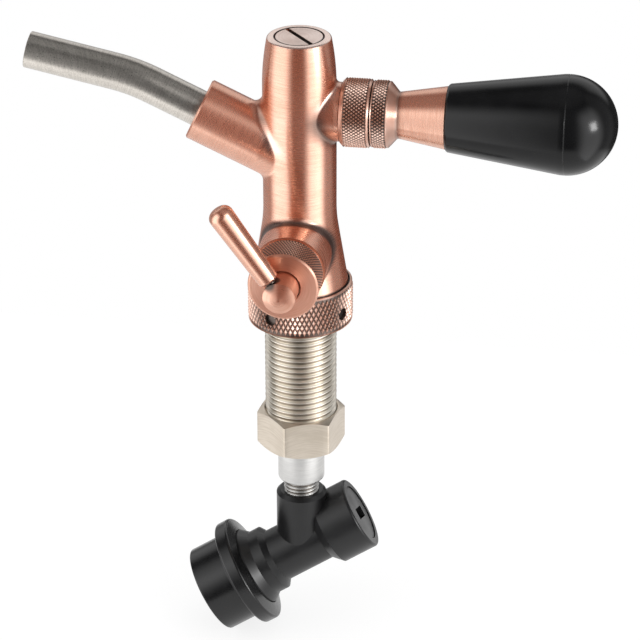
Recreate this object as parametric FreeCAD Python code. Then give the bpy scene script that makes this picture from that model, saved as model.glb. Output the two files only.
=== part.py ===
import FreeCAD, Part
import math
import os

os.makedirs("parts", exist_ok=True)

# Beer tap with a flow lever, on a short shank with a ball-lock disconnect. Sizes are in millimetres.
# The shank's axis is +Z, and the origin is on it, at the top face of the hex tail nut.
# The handle points along +X, the spout along -X and the flow lever's shaft along -Y.

# Fits: the gaps that everything else is worked out from
THREAD_GAP = 0.04  # between two threads, and between a shaft and its bore
RING_GAP = 0.02  # between a rubber ring and the walls it seals on
SEAT_GAP = 0.05  # between two faces that bear on each other across a joint
SHOW_GAP = 0.3  # between two pieces that only pass each other

# Shank, with a 7/8 inch thread
SHANK_R = 22.225 / 2
SHANK_PITCH = 25.4 / 14
SHANK_THREAD_DEPTH = 0.95
SHANK_THREAD_ROOT = 0.3
SHANK_COLLAR_THICK = 2.0
SHANK_BELOW_FACE = 6.4
BORE_TOP_R = 6.2
BORE_END_R = 4.2

# Coupling nut, with a 1 1/8 inch thread
TAIL_THREAD_R = 28.575 / 2
NUT_WALL = 1.91
NUT_BOTTOM_Z = 31.98
NUT_HEIGHT = 12.69
NUT_CHAMFER = 1.2
NUT_FLOOR_THICK = 2.27
NUT_MOUTH_DEPTH = 1.17
NUT_MOUTH_GAP = 0.27
SPANNER_HOLE_R = 1.95
SPANNER_HOLE_DEPTH = 1.5
SPANNER_HOLE_UP = 4.87
SPANNER_HOLE_TURN = -26.6
COLLAR_IN_THREAD = 1.09
TAIL_GASKET_THICK = 1.5

# Hex tail nut and the adapter it clamps
HEX_WALL = 1.0
HEX_HEIGHT = 12.35
HEX_TURN = -13.0
HEX_FLOOR_THICK = 2.0
ADAPTER_GASKET_THICK = 1.2
SLEEVE_R = 7.3
SLEEVE_END_Z = -24.97
SLEEVE_ROUND = 0.8
NIPPLE_R = 11.1125 / 2
NIPPLE_LENGTH = 12.5
ADAPTER_BORE_R = 2.6
FLARE_WASHER_THICK = 1.2

# Tap barrel
BARREL_R = 11.1
BARREL_TOP_Z = 124.0
TAPER_Z = 108.0
TAPER_ARC = 84.0
RIM_ROUND = 0.8
FLARE_Z = 70.0
FLARE_ARC = 45.0
SKIRT_GAP = 0.5
SKIRT_STEP = 0.44
INLET_R = 6.4
SEAT_Z = 73.0
SEAT_THICK = 3.0
SEAT_HOLE_R = 4.3
CHAMBER_R = 6.0
CHAMBER_HEIGHT = 17.0
GUIDE_BORE_R = 5.5

# Plug in the barrel's top
PLUG_R = 7.25
PLUG_SHOW_GAP = 0.25
PLUG_THREAD_R = 6.55
PLUG_THREAD_LENGTH = 5.0
PLUG_HEAD_THICK = 2.24
PLUG_GASKET_THICK = 0.7
PLUG_BELOW_RIM = 0.06
PLUG_SLOT_WIDTH = 1.45
PLUG_SLOT_DEPTH = 1.4
PLUG_SLOT_TURN = -51.0

# Spout boss and tube
SPOUT_Z = 84.95
SPOUT_RISE = 25.1
SPOUT_BOSS_R = 9.55
SPOUT_BOSS_END = 33.6
SPOUT_BOSS_CHAMFER = 0.5
SPOUT_BLEND = 3.0
SPOUT_R = 11.1 / 2
SPOUT_WALL = 0.8
SPOUT_IN_BOSS = 15.5
SPOUT_TO_BEND = 21.65
SPOUT_BEND = 13.2
SPOUT_BEND_R = 52.0
SPOUT_AFTER_BEND = 32.9
SPOUT_PASSAGE_R = 4.4
RING_WIRE_R = 0.7

# Handle boss, nut and lever
HANDLE_Z = 100.68
HANDLE_BOSS_R = 8.9
HANDLE_BOSS_OUT = 1.5  # from the barrel's wall to the boss's face
HANDLE_BLEND = 1.4
PIVOT_OUT = 1.4  # from the boss's face to the lever's pivot
BALL_R = 6.2
SOCKET_WALL = 1.4
SPIGOT_R = 8.4
HANDLE_SPIGOT_LENGTH = 6.4
RING_SEAT_BACK = 4.2
RING_SEAT_THICK = 1.8
FRICTION_THICK = 1.6
BONNET_R = 10.41
BONNET_GAP = 0.35
BONNET_LENGTH = 8.85
BONNET_REAR_CHAMFER = 1.0
BONNET_FRONT_CHAMFER = 0.6
HANDLE_SWING = 25.0
FINGER_R = 1.7
FINGER_BALL_R = 2.3
FINGER_BALL_X = 0.9
STEM_R = 3.0
HANDLE_THREAD_R = 9.525 / 2
COLLAR_GAP = 0.48
COLLAR_R = 10.24
COLLAR_KNURL_LENGTH = 4.78
COLLAR_CONE_LENGTH = 2.94
NECK_R = 6.97
FERRULE_LENGTH = 14.15
FERRULE_END_R = 9.43
STEM_IN_FERRULE = 8.0
STUD_IN_KNOB = 15.8
KNOB_START_R = 10.21
KNOB_EDGE = 0.85
KNOB_BALL_R = 14.95
KNOB_LENGTH = 50.6

# Valve piston
PISTON_BELOW_FINGER = 6.2
PISTON_ABOVE_FINGER = 10.3
ROD_R = 2.6
ROD_THREAD_R = 2.0
ROD_FLANGE_R = 3.6
ROD_FLANGE_THICK = 1.1
VALVE_SEAL_R = 5.4
VALVE_SEAL_THICK = 2.0
SEAL_NUT_ACROSS = 7.0
SEAL_NUT_THICK = 2.0
ROD_PAST_NUT = 0.4

# Flow lever boss, gland, shaft and lever
FLOW_BOSS_R = 10.9
FLOW_BOSS_ABOVE_NUT = 2.08
FLOW_BOSS_END = 21.5
FLOW_BLEND = 2.0
FLOW_SPIGOT_R = 8.6
FLOW_SPIGOT_LENGTH = 7.0
FLOW_BORE_R = 5.0
GLAND_R = 10.64
GLAND_REAR_GAP = 0.25
GLAND_FACE = 33.0
GLAND_RIM = 0.8
GLAND_WALL = 2.8
SHAFT_INNER_END = 8.0
SHAFT_RING_AT = 12.0
SHAFT_RING_STEP = 5.0
SHAFT_COLLAR_R = 6.6
SHAFT_COLLAR_THICK = 1.5
SHAFT_OUT_R = 4.85
SHAFT_END = 41.6
SHAFT_DOME = 1.1
LEVER_AT = 38.3
LEVER_TURN = 34.8
LEVER_ROOT = 5.4
LEVER_END = 32.4
LEVER_ROOT_R = 3.2
LEVER_ROOT_CHAMFER = 0.7
LEVER_TIP_R = 3.85
LEVER_NECK_R = 1.5
LEVER_NECK_DEPTH = 2.6
CAM_OFFSET = 2.6
CAM_R = 1.25
CAM_LENGTH = 4.4
CAM_BEFORE_MID = 10.0

# Cone that throttles the flow
CONE_FLANGE_GAP = 0.1
CONE_FLANGE_THICK = 1.55
CONE_GROOVE_GAP = 0.2
CONE_NECK_R = 3.0
CONE_BODY_R = 5.5
CONE_FLOW_GAP = 0.4
CONE_END_Z = 4.0
CONE_NOTCH_R = 2.2

# Disconnect: its axis leans back from the collar's mouth up to the plug
DISC_Z = -49.93
DISC_RISE = 30.0
DISC_TURN = 10.5
STEM_OUT_R = 7.9
STEM_ABOVE_AXIS = 20.38
STEM_CHAMFER = 1.1
DISC_NECK_R = 8.68
DISC_BELL_R = 10.8
DISC_SKIRT_R = 11.65
DISC_RIM_R = 12.8
DISC_HEAD_R = 11.75
DISC_HEAD_END = 21.9
DISC_HEAD_ROUND = 0.8
DISC_SKIRT_END = -33.2
SPRING_SHELF = -18.5
BELL_FRONT = -16.4
BELL_BACK = -14.0
NECK_FRONT = -10.5
NECK_BACK = 7.8
HEAD_FRONT = 10.4
POST_MOUTH_R = 9.2
POST_MOUTH_DEPTH = 8.2
POST_R = 8.6
POST_FLOOR = -17.0
POPPET_SEAT = -15.0
CAVITY_R = 5.6
HEAD_BORE_START = 15.0
DISC_PLUG_R = 9.15
DISC_PLUG_BELOW = 0.3
DISC_PLUG_GASKET = 1.0
DISC_SLOT_WIDTH = 3.6
DISC_SLOT_LENGTH = 8.4
DISC_SLOT_DEPTH = 2.0
DISC_SLOT_TURN = 25.0

# Release collar with its lock balls and spring
SLEEVE_END = -33.6
SLEEVE_OUT_R = 14.15
SLEEVE_EDGE = 0.5
GRIP_R = 17.65
GRIP_REAR = -23.3
GRIP_FRONT = -17.8
GRIP_ROUND = 0.8
GRIP_DISH = 0.9
LAND_R = 11.75
LAND_END = -24.5
LAND_START = -31.2
SLEEVE_MOUTH_R = 13.2
SLEEVE_BORE_R = 13.05
LOCK_BALL_R = 1.6
LOCK_BALL_AT = -28.9
LOCK_BALLS = 4
STOP_RING_AT = -31.9
STOP_RING_THICK = 0.8
STOP_RING_DEPTH = 0.6
STOP_RING_WIDTH = 1.9
COLLAR_SPRING_WIRE = 0.7
COLLAR_SPRING_TURNS = 2.6

# Poppet
POPPET_PIN_R = 2.0
POPPET_HOLE_R = 2.6
POPPET_TIP = -17.0
POPPET_SEAL_R = 4.2
POPPET_SEAL_THICK = 1.7
POPPET_FLANGE_THICK = 1.2
POPPET_TAIL = 6.0
POPPET_SPRING_WIRE = 0.6
POPPET_SPRING_TURNS = 7.0


def vec(x, y, z):
    return FreeCAD.Vector(x, y, z)


UP = vec(0, 0, 1)
RIGHT = vec(1, 0, 0)


def outline_leg(here, there):
    """The straight leg or arc to the next outline point, whose third number is the arc's radius.

    A positive radius turns left on the way and a negative one turns right.
    """
    start = vec(here[0], 0, here[1])
    end = vec(there[0], 0, there[1])
    if len(there) < 3:
        return Part.makeLine(start, end)
    half = (end - start) * 0.5
    size = abs(there[2])
    sag = size - math.sqrt(size**2 - half.Length**2)
    right = vec(half.z, 0, -half.x).normalize()
    middle = start + half + right * math.copysign(sag, there[2])
    return Part.Arc(start, middle, end).toShape()


def turned(points):
    """A solid turned about +Z from an outline of (radius, height) points."""
    legs = [outline_leg(a, b) for a, b in zip(points, points[1:] + points[:1])]
    solid = Part.Face(Part.Wire(legs)).revolve(vec(0, 0, 0), UP, 360)
    if solid.Volume < 0:
        solid.reverse()
    return solid


def rod(radius, low, high):
    return Part.makeCylinder(radius, high - low, vec(0, 0, low))


def ring(inner, outer, low, high):
    return turned([(inner, low), (outer, low), (outer, high), (inner, high)])


def ball(radius, height):
    return Part.makeSphere(radius, vec(0, 0, height))


def rubber_ring(middle, wire, height):
    return Part.makeTorus(middle, wire, vec(0, 0, height))


def aimed(shape, origin, along, side):
    """The shape with its +Z turned along one direction, its +X towards another and its origin moved."""
    across = side - along * side.dot(along)
    turn = FreeCAD.Rotation(across, along.cross(across), along, "ZXY")
    out = shape.copy()
    out.Placement = FreeCAD.Placement(origin, turn).multiply(out.Placement)
    return out


def spun(shape, degrees):
    out = shape.copy()
    out.rotate(vec(0, 0, 0), UP, degrees)
    return out


def box(x, y, z):
    """A box given by its (low, high) reach along each axis."""
    return Part.makeBox(x[1] - x[0], y[1] - y[0], z[1] - z[0], vec(x[0], y[0], z[0]))


def prism(points, low, high):
    """A prism along +Z on an outline of (x, y) points."""
    corners = [vec(x, y, low) for x, y in points]
    face = Part.Face(Part.makePolygon(corners + corners[:1]))
    return face.extrude(vec(0, 0, high - low))


def hexagon(across, turn):
    reach = across / math.sqrt(3)
    angles = [math.radians(turn + 60 * k) for k in range(6)]
    return [(reach * math.cos(a), reach * math.sin(a)) for a in angles]


def coil(middle, wire, low, high, turns):
    """A square-wire spring between two heights."""
    half = wire / 2
    path = Part.makeHelix((high - low - wire) / turns, high - low - wire, middle)
    path.translate(vec(0, 0, low + half))
    corners = [(-half, -half), (half, -half), (half, half), (-half, half), (-half, -half)]
    profile = Part.makePolygon([vec(middle + x, 0, low + half + z) for x, z in corners])
    return Part.Wire(path).makePipeShell([profile], True, True)


def thread_groove(radius, pitch, depth, root, low, high):
    """The groove of a right-handed 60 degree thread, to be cut from a rod of the stated radius."""
    outer = radius + 0.1
    half_root = root / 2
    half_top = half_root + (depth + 0.1) * math.tan(math.radians(30))
    path = Part.makeHelix(pitch, high - low, radius)
    path.translate(vec(0, 0, low))
    inner = radius - depth
    corners = [(outer, -half_top), (inner, -half_root), (inner, half_root), (outer, half_top)]
    points = [vec(x, 0, low + z) for x, z in corners]
    profile = Part.makePolygon(points + points[:1])
    return Part.Wire(path).makePipeShell([profile], True, True)


def blended(body, boss, axis_point, axis, radius, end, size):
    """The boss fused to the body, with a fillet of the stated size where their walls meet."""
    whole = body.fuse(boss)
    edges = []
    for edge in whole.Edges:
        if edge.Curve.TypeId == "Part::GeomLine":
            continue
        places = [p - axis_point for p in edge.discretize(7)]
        offs = [(p - axis * p.dot(axis)).Length for p in places]
        on_wall = all(abs(off - radius) < 0.01 for off in offs)
        if on_wall and all(0 < p.dot(axis) < end - 1 for p in places):
            edges.append(edge)
    return whole.makeFillet(size, edges)


def keep(name, *solids):
    shape = solids[0] if len(solids) == 1 else Part.makeCompound(list(solids))
    shape.exportStep("parts/" + name + ".step")


# Stations along the shank's axis
nut_top = NUT_BOTTOM_Z + NUT_HEIGHT
shank_collar_low = NUT_BOTTOM_Z + NUT_FLOOR_THICK + SEAT_GAP
shank_top = shank_collar_low + SHANK_COLLAR_THICK
tail_low = shank_top + TAIL_GASKET_THICK + SEAT_GAP
mouth_floor = nut_top - NUT_MOUTH_DEPTH
shank_bottom = -SHANK_BELOW_FACE
flow_z = nut_top + FLOW_BOSS_ABOVE_NUT + FLOW_BOSS_R

# Radii that follow from the two threads
nut_r = TAIL_THREAD_R + NUT_WALL
skirt_r = TAIL_THREAD_R + SKIRT_STEP
nut_mouth_r = skirt_r + NUT_MOUTH_GAP
shank_collar_r = TAIL_THREAD_R - COLLAR_IN_THREAD
hex_across = 2 * (SHANK_R + HEX_WALL)


# Stations along the handle's axis, outwards from the barrel's wall
handle_boss_end = BARREL_R + HANDLE_BOSS_OUT
pivot_x = handle_boss_end + PIVOT_OUT
spigot_end = handle_boss_end + HANDLE_SPIGOT_LENGTH
ring_seat_x = pivot_x - RING_SEAT_BACK
bonnet_start = handle_boss_end + BONNET_GAP
bonnet_end = bonnet_start + BONNET_LENGTH
finger_reach = pivot_x - FINGER_BALL_X


def bore_at(height):
    share = (height - shank_bottom) / (shank_top - shank_bottom)
    return BORE_END_R + share * (BORE_TOP_R - BORE_END_R)


# Directions of the three bosses
handle_place = (vec(0, 0, HANDLE_Z), RIGHT, UP)
flow_place = (vec(0, 0, flow_z), vec(0, -1, 0), RIGHT)
rise = math.radians(SPOUT_RISE)
spout_along = vec(-math.cos(rise), 0, math.sin(rise))
spout_place = (vec(0, 0, SPOUT_Z), spout_along, UP)

# Barrel: turned, with its flare below, tangent to the skirt's cone, and its tapered top
skirt_low = mouth_floor + SKIRT_GAP
flare_drop = FLARE_Z - skirt_low
flare_across = BARREL_R + FLARE_ARC - skirt_r
flare_far = math.hypot(flare_across, flare_drop)
lean = math.atan2(flare_drop, flare_across) - math.acos(FLARE_ARC / flare_far)
flare_low = FLARE_Z - FLARE_ARC * math.sin(lean)
flare_low_r = BARREL_R + FLARE_ARC * (1 - math.cos(lean))
taper_centre = BARREL_R - TAPER_ARC
rim_rise = BARREL_TOP_Z - RIM_ROUND - TAPER_Z
rim_r = taper_centre + math.sqrt((TAPER_ARC - RIM_ROUND) ** 2 - rim_rise**2)
rim_share = TAPER_ARC / (TAPER_ARC - RIM_ROUND)
rim_start_r = taper_centre + (rim_r - taper_centre) * rim_share
rim_start_z = TAPER_Z + rim_rise * rim_share
barrel = turned(
    [
        (0, tail_low),
        (TAIL_THREAD_R - 0.6, tail_low),
        (TAIL_THREAD_R, tail_low + 0.6),
        (TAIL_THREAD_R, skirt_low),
        (skirt_r, skirt_low),
        (flare_low_r, flare_low),
        (BARREL_R, FLARE_Z, -FLARE_ARC),
        (BARREL_R, TAPER_Z),
        (rim_start_r, rim_start_z, TAPER_ARC),
        (rim_r, BARREL_TOP_Z, RIM_ROUND),
        (0, BARREL_TOP_Z),
    ]
)
barrel = spun(barrel, 90)

# Bosses, blended into the barrel
handle_boss = aimed(rod(HANDLE_BOSS_R, 0, handle_boss_end), *handle_place)
flow_boss = aimed(rod(FLOW_BOSS_R, 0, FLOW_BOSS_END), *flow_place)
spout_boss = turned(
    [
        (0, 0),
        (SPOUT_BOSS_R, 0),
        (SPOUT_BOSS_R, SPOUT_BOSS_END - SPOUT_BOSS_CHAMFER),
        (SPOUT_BOSS_R - SPOUT_BOSS_CHAMFER, SPOUT_BOSS_END),
        (0, SPOUT_BOSS_END),
    ]
)
spout_boss = aimed(spout_boss, *spout_place)
tap = blended(barrel, handle_boss, *handle_place[:2], HANDLE_BOSS_R, handle_boss_end, HANDLE_BLEND)
tap = blended(tap, spout_boss, *spout_place[:2], SPOUT_BOSS_R, SPOUT_BOSS_END, SPOUT_BLEND)
tap = blended(tap, flow_boss, *flow_place[:2], FLOW_BOSS_R, FLOW_BOSS_END, FLOW_BLEND)

# Threaded spigots for the bonnet nut and the gland
socket_r = SPIGOT_R - SOCKET_WALL
flow_spigot_end = FLOW_BOSS_END + FLOW_SPIGOT_LENGTH
tap = tap.fuse(aimed(rod(SPIGOT_R, handle_boss_end - 1, spigot_end), *handle_place))
tap = tap.fuse(aimed(rod(FLOW_SPIGOT_R, FLOW_BOSS_END - 1, flow_spigot_end), *flow_place))

# Barrel bores, from the inlet up through the valve seat to the plug
plug_top = BARREL_TOP_Z - PLUG_BELOW_RIM
plug_shoulder = plug_top - PLUG_HEAD_THICK
counterbore_floor = plug_shoulder - PLUG_GASKET_THICK
plug_thread_low = counterbore_floor - PLUG_THREAD_LENGTH
seat_top = SEAT_Z + SEAT_THICK
chamber_top = seat_top + CHAMBER_HEIGHT
tap = tap.cut(
    [
        rod(INLET_R, tail_low - 1, SEAT_Z),
        rod(SEAT_HOLE_R, SEAT_Z - 1, seat_top + 1),
        rod(CHAMBER_R, seat_top, chamber_top),
        rod(GUIDE_BORE_R, chamber_top - 1, plug_thread_low + 1),
        rod(PLUG_THREAD_R + THREAD_GAP, plug_thread_low, counterbore_floor + 1),
        rod(PLUG_R + PLUG_SHOW_GAP, counterbore_floor, BARREL_TOP_Z + 1),
    ]
)

# Spout socket with its ring groove, and the passage from the chamber
spout_floor = SPOUT_BOSS_END - SPOUT_IN_BOSS
spout_bore_r = SPOUT_R + THREAD_GAP
spout_ring_at = spout_floor + SPOUT_IN_BOSS / 2
ring_groove = 2 * RING_WIRE_R + 4 * RING_GAP
spout_cut = rod(SPOUT_PASSAGE_R, 0, spout_floor + 1)
spout_cut = spout_cut.fuse(rod(spout_bore_r, spout_floor, SPOUT_BOSS_END + 1))
spout_cut = spout_cut.fuse(
    rod(SPOUT_R + ring_groove, spout_ring_at - ring_groove / 2, spout_ring_at + ring_groove / 2)
)
tap = tap.cut(aimed(spout_cut, *spout_place))

# Handle socket, and the passage that the finger swings in
pivot = vec(pivot_x, 0, HANDLE_Z)
half_swing = math.radians(HANDLE_SWING / 2)
finger_mid = vec(-math.cos(half_swing), 0, -math.sin(half_swing))
finger_room = FINGER_R + finger_reach * math.sin(half_swing) * 0.65 + SHOW_GAP
tap = tap.cut(
    [
        aimed(rod(socket_r, ring_seat_x, spigot_end + 1), *handle_place),
        aimed(ball(BALL_R + SHOW_GAP, pivot_x), *handle_place),
        aimed(rod(finger_room, 3.0, finger_reach), pivot, finger_mid, UP),
        aimed(rod(FLOW_BORE_R, INLET_R * 0.7, flow_spigot_end + 1), *flow_place),
    ]
)
keep("tap_body", tap)

# Plug and its gasket
plug = turned(
    [
        (0, plug_thread_low + 0.3),
        (PLUG_THREAD_R - 0.5, plug_thread_low + 0.3),
        (PLUG_THREAD_R, plug_thread_low + 0.8),
        (PLUG_THREAD_R, plug_shoulder),
        (PLUG_R, plug_shoulder),
        (PLUG_R, plug_top - 0.2),
        (PLUG_R - 0.2, plug_top),
        (0, plug_top),
    ]
)
half_slot = PLUG_SLOT_WIDTH / 2
slot = box((-PLUG_R - 1, PLUG_R + 1), (-half_slot, half_slot), (plug_top - PLUG_SLOT_DEPTH, plug_top + 1))
keep("front_plug", plug.cut(spun(slot, PLUG_SLOT_TURN)))
keep("plug_gasket", ring(PLUG_THREAD_R + 0.05, PLUG_R, counterbore_floor, plug_shoulder))

# Spout tube: straight, bent, then straight to its mouth
bend = math.radians(SPOUT_BEND)
bend_reach = SPOUT_BEND_R * math.tan(bend / 2)
straight_end = SPOUT_BOSS_END + SPOUT_TO_BEND - bend_reach
inside_r = SPOUT_R - SPOUT_WALL
bend_start = vec(0, 0, SPOUT_Z) + spout_along * straight_end
bend_side = vec(-math.sin(rise), 0, -math.cos(rise))
bend_centre = bend_start + bend_side * SPOUT_BEND_R
out_rise = rise - bend
out_along = vec(-math.cos(out_rise), 0, math.sin(out_rise))
bend_end = bend_start + (spout_along + out_along) * bend_reach
mouth_length = SPOUT_AFTER_BEND - bend_reach
circle_out = Part.makeCircle(SPOUT_R, bend_start, spout_along)
circle_in = Part.makeCircle(inside_r, bend_start, spout_along)
bend_face = Part.Face([Part.Wire(circle_out), Part.Wire(circle_in)])
bend_solid = bend_face.revolve(bend_centre, vec(0, -1, 0), SPOUT_BEND)
mouth = turned(
    [
        (inside_r, 0),
        (SPOUT_R, 0),
        (SPOUT_R, mouth_length - 0.15),
        (SPOUT_R - 0.15, mouth_length),
        (inside_r + 0.15, mouth_length),
        (inside_r, mouth_length - 0.15),
    ]
)
tube = aimed(ring(inside_r, SPOUT_R, spout_floor, straight_end), *spout_place)
tube = tube.fuse([bend_solid, aimed(mouth, bend_end, out_along, UP)]).removeSplitter()
keep("spout_tube", tube)
spout_ring_r = SPOUT_R + RING_GAP + RING_WIRE_R
keep("spout_o_ring", aimed(rubber_ring(spout_ring_r, RING_WIRE_R, spout_ring_at), *spout_place))

# Bonnet nut, with the rings that hold the lever's ball
friction_end = spigot_end - 1.2
friction_start = friction_end - FRICTION_THICK
nose_r = socket_r - 0.1
swing = math.radians(HANDLE_SWING)


def stem_room(station):
    """The opening that the swinging stem needs at a station along the handle's axis."""
    return (station - pivot_x) * math.tan(swing) + STEM_R / math.cos(swing) + SHOW_GAP


bonnet = turned(
    [
        (SPIGOT_R + THREAD_GAP, bonnet_start),
        (BONNET_R - BONNET_REAR_CHAMFER, bonnet_start),
        (BONNET_R, bonnet_start + BONNET_REAR_CHAMFER),
        (BONNET_R, bonnet_end - BONNET_FRONT_CHAMFER),
        (BONNET_R - BONNET_FRONT_CHAMFER, bonnet_end),
        (stem_room(bonnet_end), bonnet_end),
        (stem_room(friction_end), friction_end),
        (nose_r, friction_end),
        (nose_r, spigot_end + SEAT_GAP),
        (SPIGOT_R + THREAD_GAP, spigot_end + SEAT_GAP),
    ]
)
keep("bonnet_nut", aimed(bonnet, *handle_place))
ball_room = ball(BALL_R + SEAT_GAP, pivot_x)
seat_ring = ring(BALL_R / 2, nose_r, ring_seat_x, ring_seat_x + RING_SEAT_THICK)
friction = ring(BALL_R / 2, nose_r, friction_start, friction_end)
keep("lever_seat", aimed(seat_ring.cut(ball_room), *handle_place))
keep("friction_washer", aimed(friction.cut(ball_room), *handle_place))

# Lever: finger, ball, stem and thread in one piece
collar_start = bonnet_end + COLLAR_GAP
collar_knurl_end = collar_start + COLLAR_KNURL_LENGTH
neck_x = collar_knurl_end + COLLAR_CONE_LENGTH
ferrule_end = neck_x + FERRULE_LENGTH
bonnet_corner = math.hypot(bonnet_end - BONNET_FRONT_CHAMFER - pivot_x, BONNET_R)
cup_r = bonnet_corner + 0.25
thread_start = pivot_x + cup_r - 0.5
stem_end = neck_x + STEM_IN_FERRULE
lever = ball(BALL_R, pivot_x).fuse(
    [
        rod(FINGER_R, pivot_x - finger_reach, pivot_x),
        ball(FINGER_BALL_R, pivot_x - finger_reach),
        rod(STEM_R, pivot_x, thread_start + 1),
        rod(HANDLE_THREAD_R, thread_start, stem_end),
    ]
)
keep("handle_lever", aimed(lever, *handle_place))

# Knurled collar with its hollow back, ferrule, stud and knob
hole_r = HANDLE_THREAD_R + THREAD_GAP
collar = turned(
    [
        (0, collar_start),
        (COLLAR_R, collar_start),
        (COLLAR_R, collar_knurl_end),
        (NECK_R, neck_x),
        (0, neck_x),
    ]
)
collar = collar.cut([ball(cup_r, pivot_x), rod(hole_r, pivot_x, neck_x + 1)])
keep("lever_collar", aimed(collar, *handle_place))
ferrule = turned([(hole_r, neck_x), (NECK_R, neck_x), (FERRULE_END_R, ferrule_end), (hole_r, ferrule_end)])
keep("handle_ferrule", aimed(ferrule, *handle_place))
stud_end = ferrule_end + STUD_IN_KNOB
keep("knob_stud", aimed(rod(HANDLE_THREAD_R, stem_end + SHOW_GAP, stud_end), *handle_place))
knob_ball_x = ferrule_end + KNOB_LENGTH - KNOB_BALL_R
knob_edge_x = ferrule_end + KNOB_EDGE
knob_far = math.hypot(KNOB_START_R, knob_ball_x - knob_edge_x)
knob_turn = math.atan2(knob_edge_x - knob_ball_x, KNOB_START_R) + math.acos(KNOB_BALL_R / knob_far)
knob = turned(
    [
        (hole_r, ferrule_end),
        (FERRULE_END_R, ferrule_end),
        (KNOB_START_R, knob_edge_x),
        (KNOB_BALL_R * math.cos(knob_turn), knob_ball_x + KNOB_BALL_R * math.sin(knob_turn)),
        (0, knob_ball_x + KNOB_BALL_R, KNOB_BALL_R),
        (0, stud_end + 1),
        (hole_r, stud_end + 1),
    ]
)
keep("handle_knob", aimed(knob, *handle_place))

# Valve piston: guide with the finger's hole, rod, flange and thread
guide_r = GUIDE_BORE_R - 0.08
guide_low = HANDLE_Z - PISTON_BELOW_FINGER
guide_top = HANDLE_Z + PISTON_ABOVE_FINGER
seal_top = SEAT_Z - SEAT_GAP
seal_low = seal_top - VALVE_SEAL_THICK
seal_nut_low = seal_low - SEAL_NUT_THICK
piston_ring_at = guide_top - 2.0
groove_r = GUIDE_BORE_R - 2 * RING_WIRE_R - 2 * RING_GAP
piston = turned(
    [
        (0, seal_nut_low - ROD_PAST_NUT),
        (ROD_THREAD_R, seal_nut_low - ROD_PAST_NUT),
        (ROD_THREAD_R, seal_top),
        (ROD_FLANGE_R, seal_top),
        (ROD_FLANGE_R, seal_top + ROD_FLANGE_THICK),
        (ROD_R, seal_top + ROD_FLANGE_THICK),
        (ROD_R, guide_low - 1.5),
        (guide_r, guide_low),
        (guide_r, piston_ring_at - ring_groove / 2),
        (groove_r, piston_ring_at - ring_groove / 2),
        (groove_r, piston_ring_at + ring_groove / 2),
        (guide_r, piston_ring_at + ring_groove / 2),
        (guide_r, guide_top - 0.4),
        (guide_r - 0.4, guide_top),
        (0, guide_top),
    ]
)
finger_hole_r = FINGER_BALL_R + 0.15
finger_tip = pivot_x - finger_reach
finger_hole = aimed(rod(finger_hole_r, finger_tip - 3.0, guide_r + 1), *handle_place)
tip_open = pivot_x - finger_reach * math.cos(swing)
relief = FINGER_R / math.cos(swing) + SHOW_GAP
slope = math.tan(swing) * (guide_r + 1 - tip_open)
relief_points = [
    (tip_open, HANDLE_Z),
    (guide_r + 1, HANDLE_Z),
    (guide_r + 1, HANDLE_Z + relief + slope),
    (tip_open, HANDLE_Z + relief),
]
corners = [vec(x, -FINGER_R - 0.2, z) for x, z in relief_points]
relief_face = Part.Face(Part.makePolygon(corners + corners[:1]))
finger_relief = relief_face.extrude(vec(0, 2 * FINGER_R + 0.4, 0))
keep("valve_piston", piston.cut([finger_hole, finger_relief]))
piston_ring_r = GUIDE_BORE_R - RING_GAP - RING_WIRE_R
keep("piston_o_ring", rubber_ring(piston_ring_r, RING_WIRE_R, piston_ring_at))
rod_hole = ROD_THREAD_R + THREAD_GAP
keep("valve_seal", ring(rod_hole, VALVE_SEAL_R, seal_low, seal_top))
seal_nut = prism(hexagon(SEAL_NUT_ACROSS, 0), seal_nut_low, seal_low)
keep("seal_nut", seal_nut.cut(rod(rod_hole, seal_nut_low - 1, seal_low + 1)))

# Gland nut on the flow lever's boss
gland_floor = GLAND_FACE - GLAND_WALL
gland_rear = FLOW_BOSS_END + GLAND_REAR_GAP
shaft_collar_low = gland_floor - SEAT_GAP - SHAFT_COLLAR_THICK
gland_thread_r = FLOW_SPIGOT_R + THREAD_GAP
gland_step = flow_spigot_end + SEAT_GAP
gland = turned(
    [
        (gland_thread_r, gland_rear),
        (GLAND_R - 0.6, gland_rear),
        (GLAND_R, gland_rear + 0.6),
        (GLAND_R, GLAND_FACE - GLAND_RIM),
        (GLAND_R - GLAND_RIM, GLAND_FACE, GLAND_RIM),
        (SHAFT_OUT_R + 0.4, GLAND_FACE),
        (SHAFT_OUT_R + 0.4, gland_floor),
        (SHAFT_COLLAR_R + SHOW_GAP, gland_floor),
        (SHAFT_COLLAR_R + SHOW_GAP, gland_step),
        (gland_thread_r, gland_step),
    ]
)
keep("compensator_gland", aimed(gland, *flow_place))

# Flow shaft: ring grooves, collar, cam pin inside and the lever's hole outside
shaft_r = FLOW_BORE_R - 0.07
shaft_groove_r = FLOW_BORE_R - 2 * RING_WIRE_R - 2 * RING_GAP
shaft_points = [(0, SHAFT_INNER_END), (shaft_r, SHAFT_INNER_END)]
for middle in (SHAFT_RING_AT, SHAFT_RING_AT + SHAFT_RING_STEP):
    shaft_points.append((shaft_r, middle - ring_groove / 2))
    shaft_points.append((shaft_groove_r, middle - ring_groove / 2))
    shaft_points.append((shaft_groove_r, middle + ring_groove / 2))
    shaft_points.append((shaft_r, middle + ring_groove / 2))
dome_arc = (SHAFT_OUT_R**2 + SHAFT_DOME**2) / (2 * SHAFT_DOME)
shaft_points += [
    (shaft_r, shaft_collar_low),
    (SHAFT_COLLAR_R, shaft_collar_low),
    (SHAFT_COLLAR_R, gland_floor - SEAT_GAP),
    (SHAFT_OUT_R, gland_floor - SEAT_GAP),
    (SHAFT_OUT_R, SHAFT_END - SHAFT_DOME),
    (0, SHAFT_END, dome_arc),
]
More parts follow.
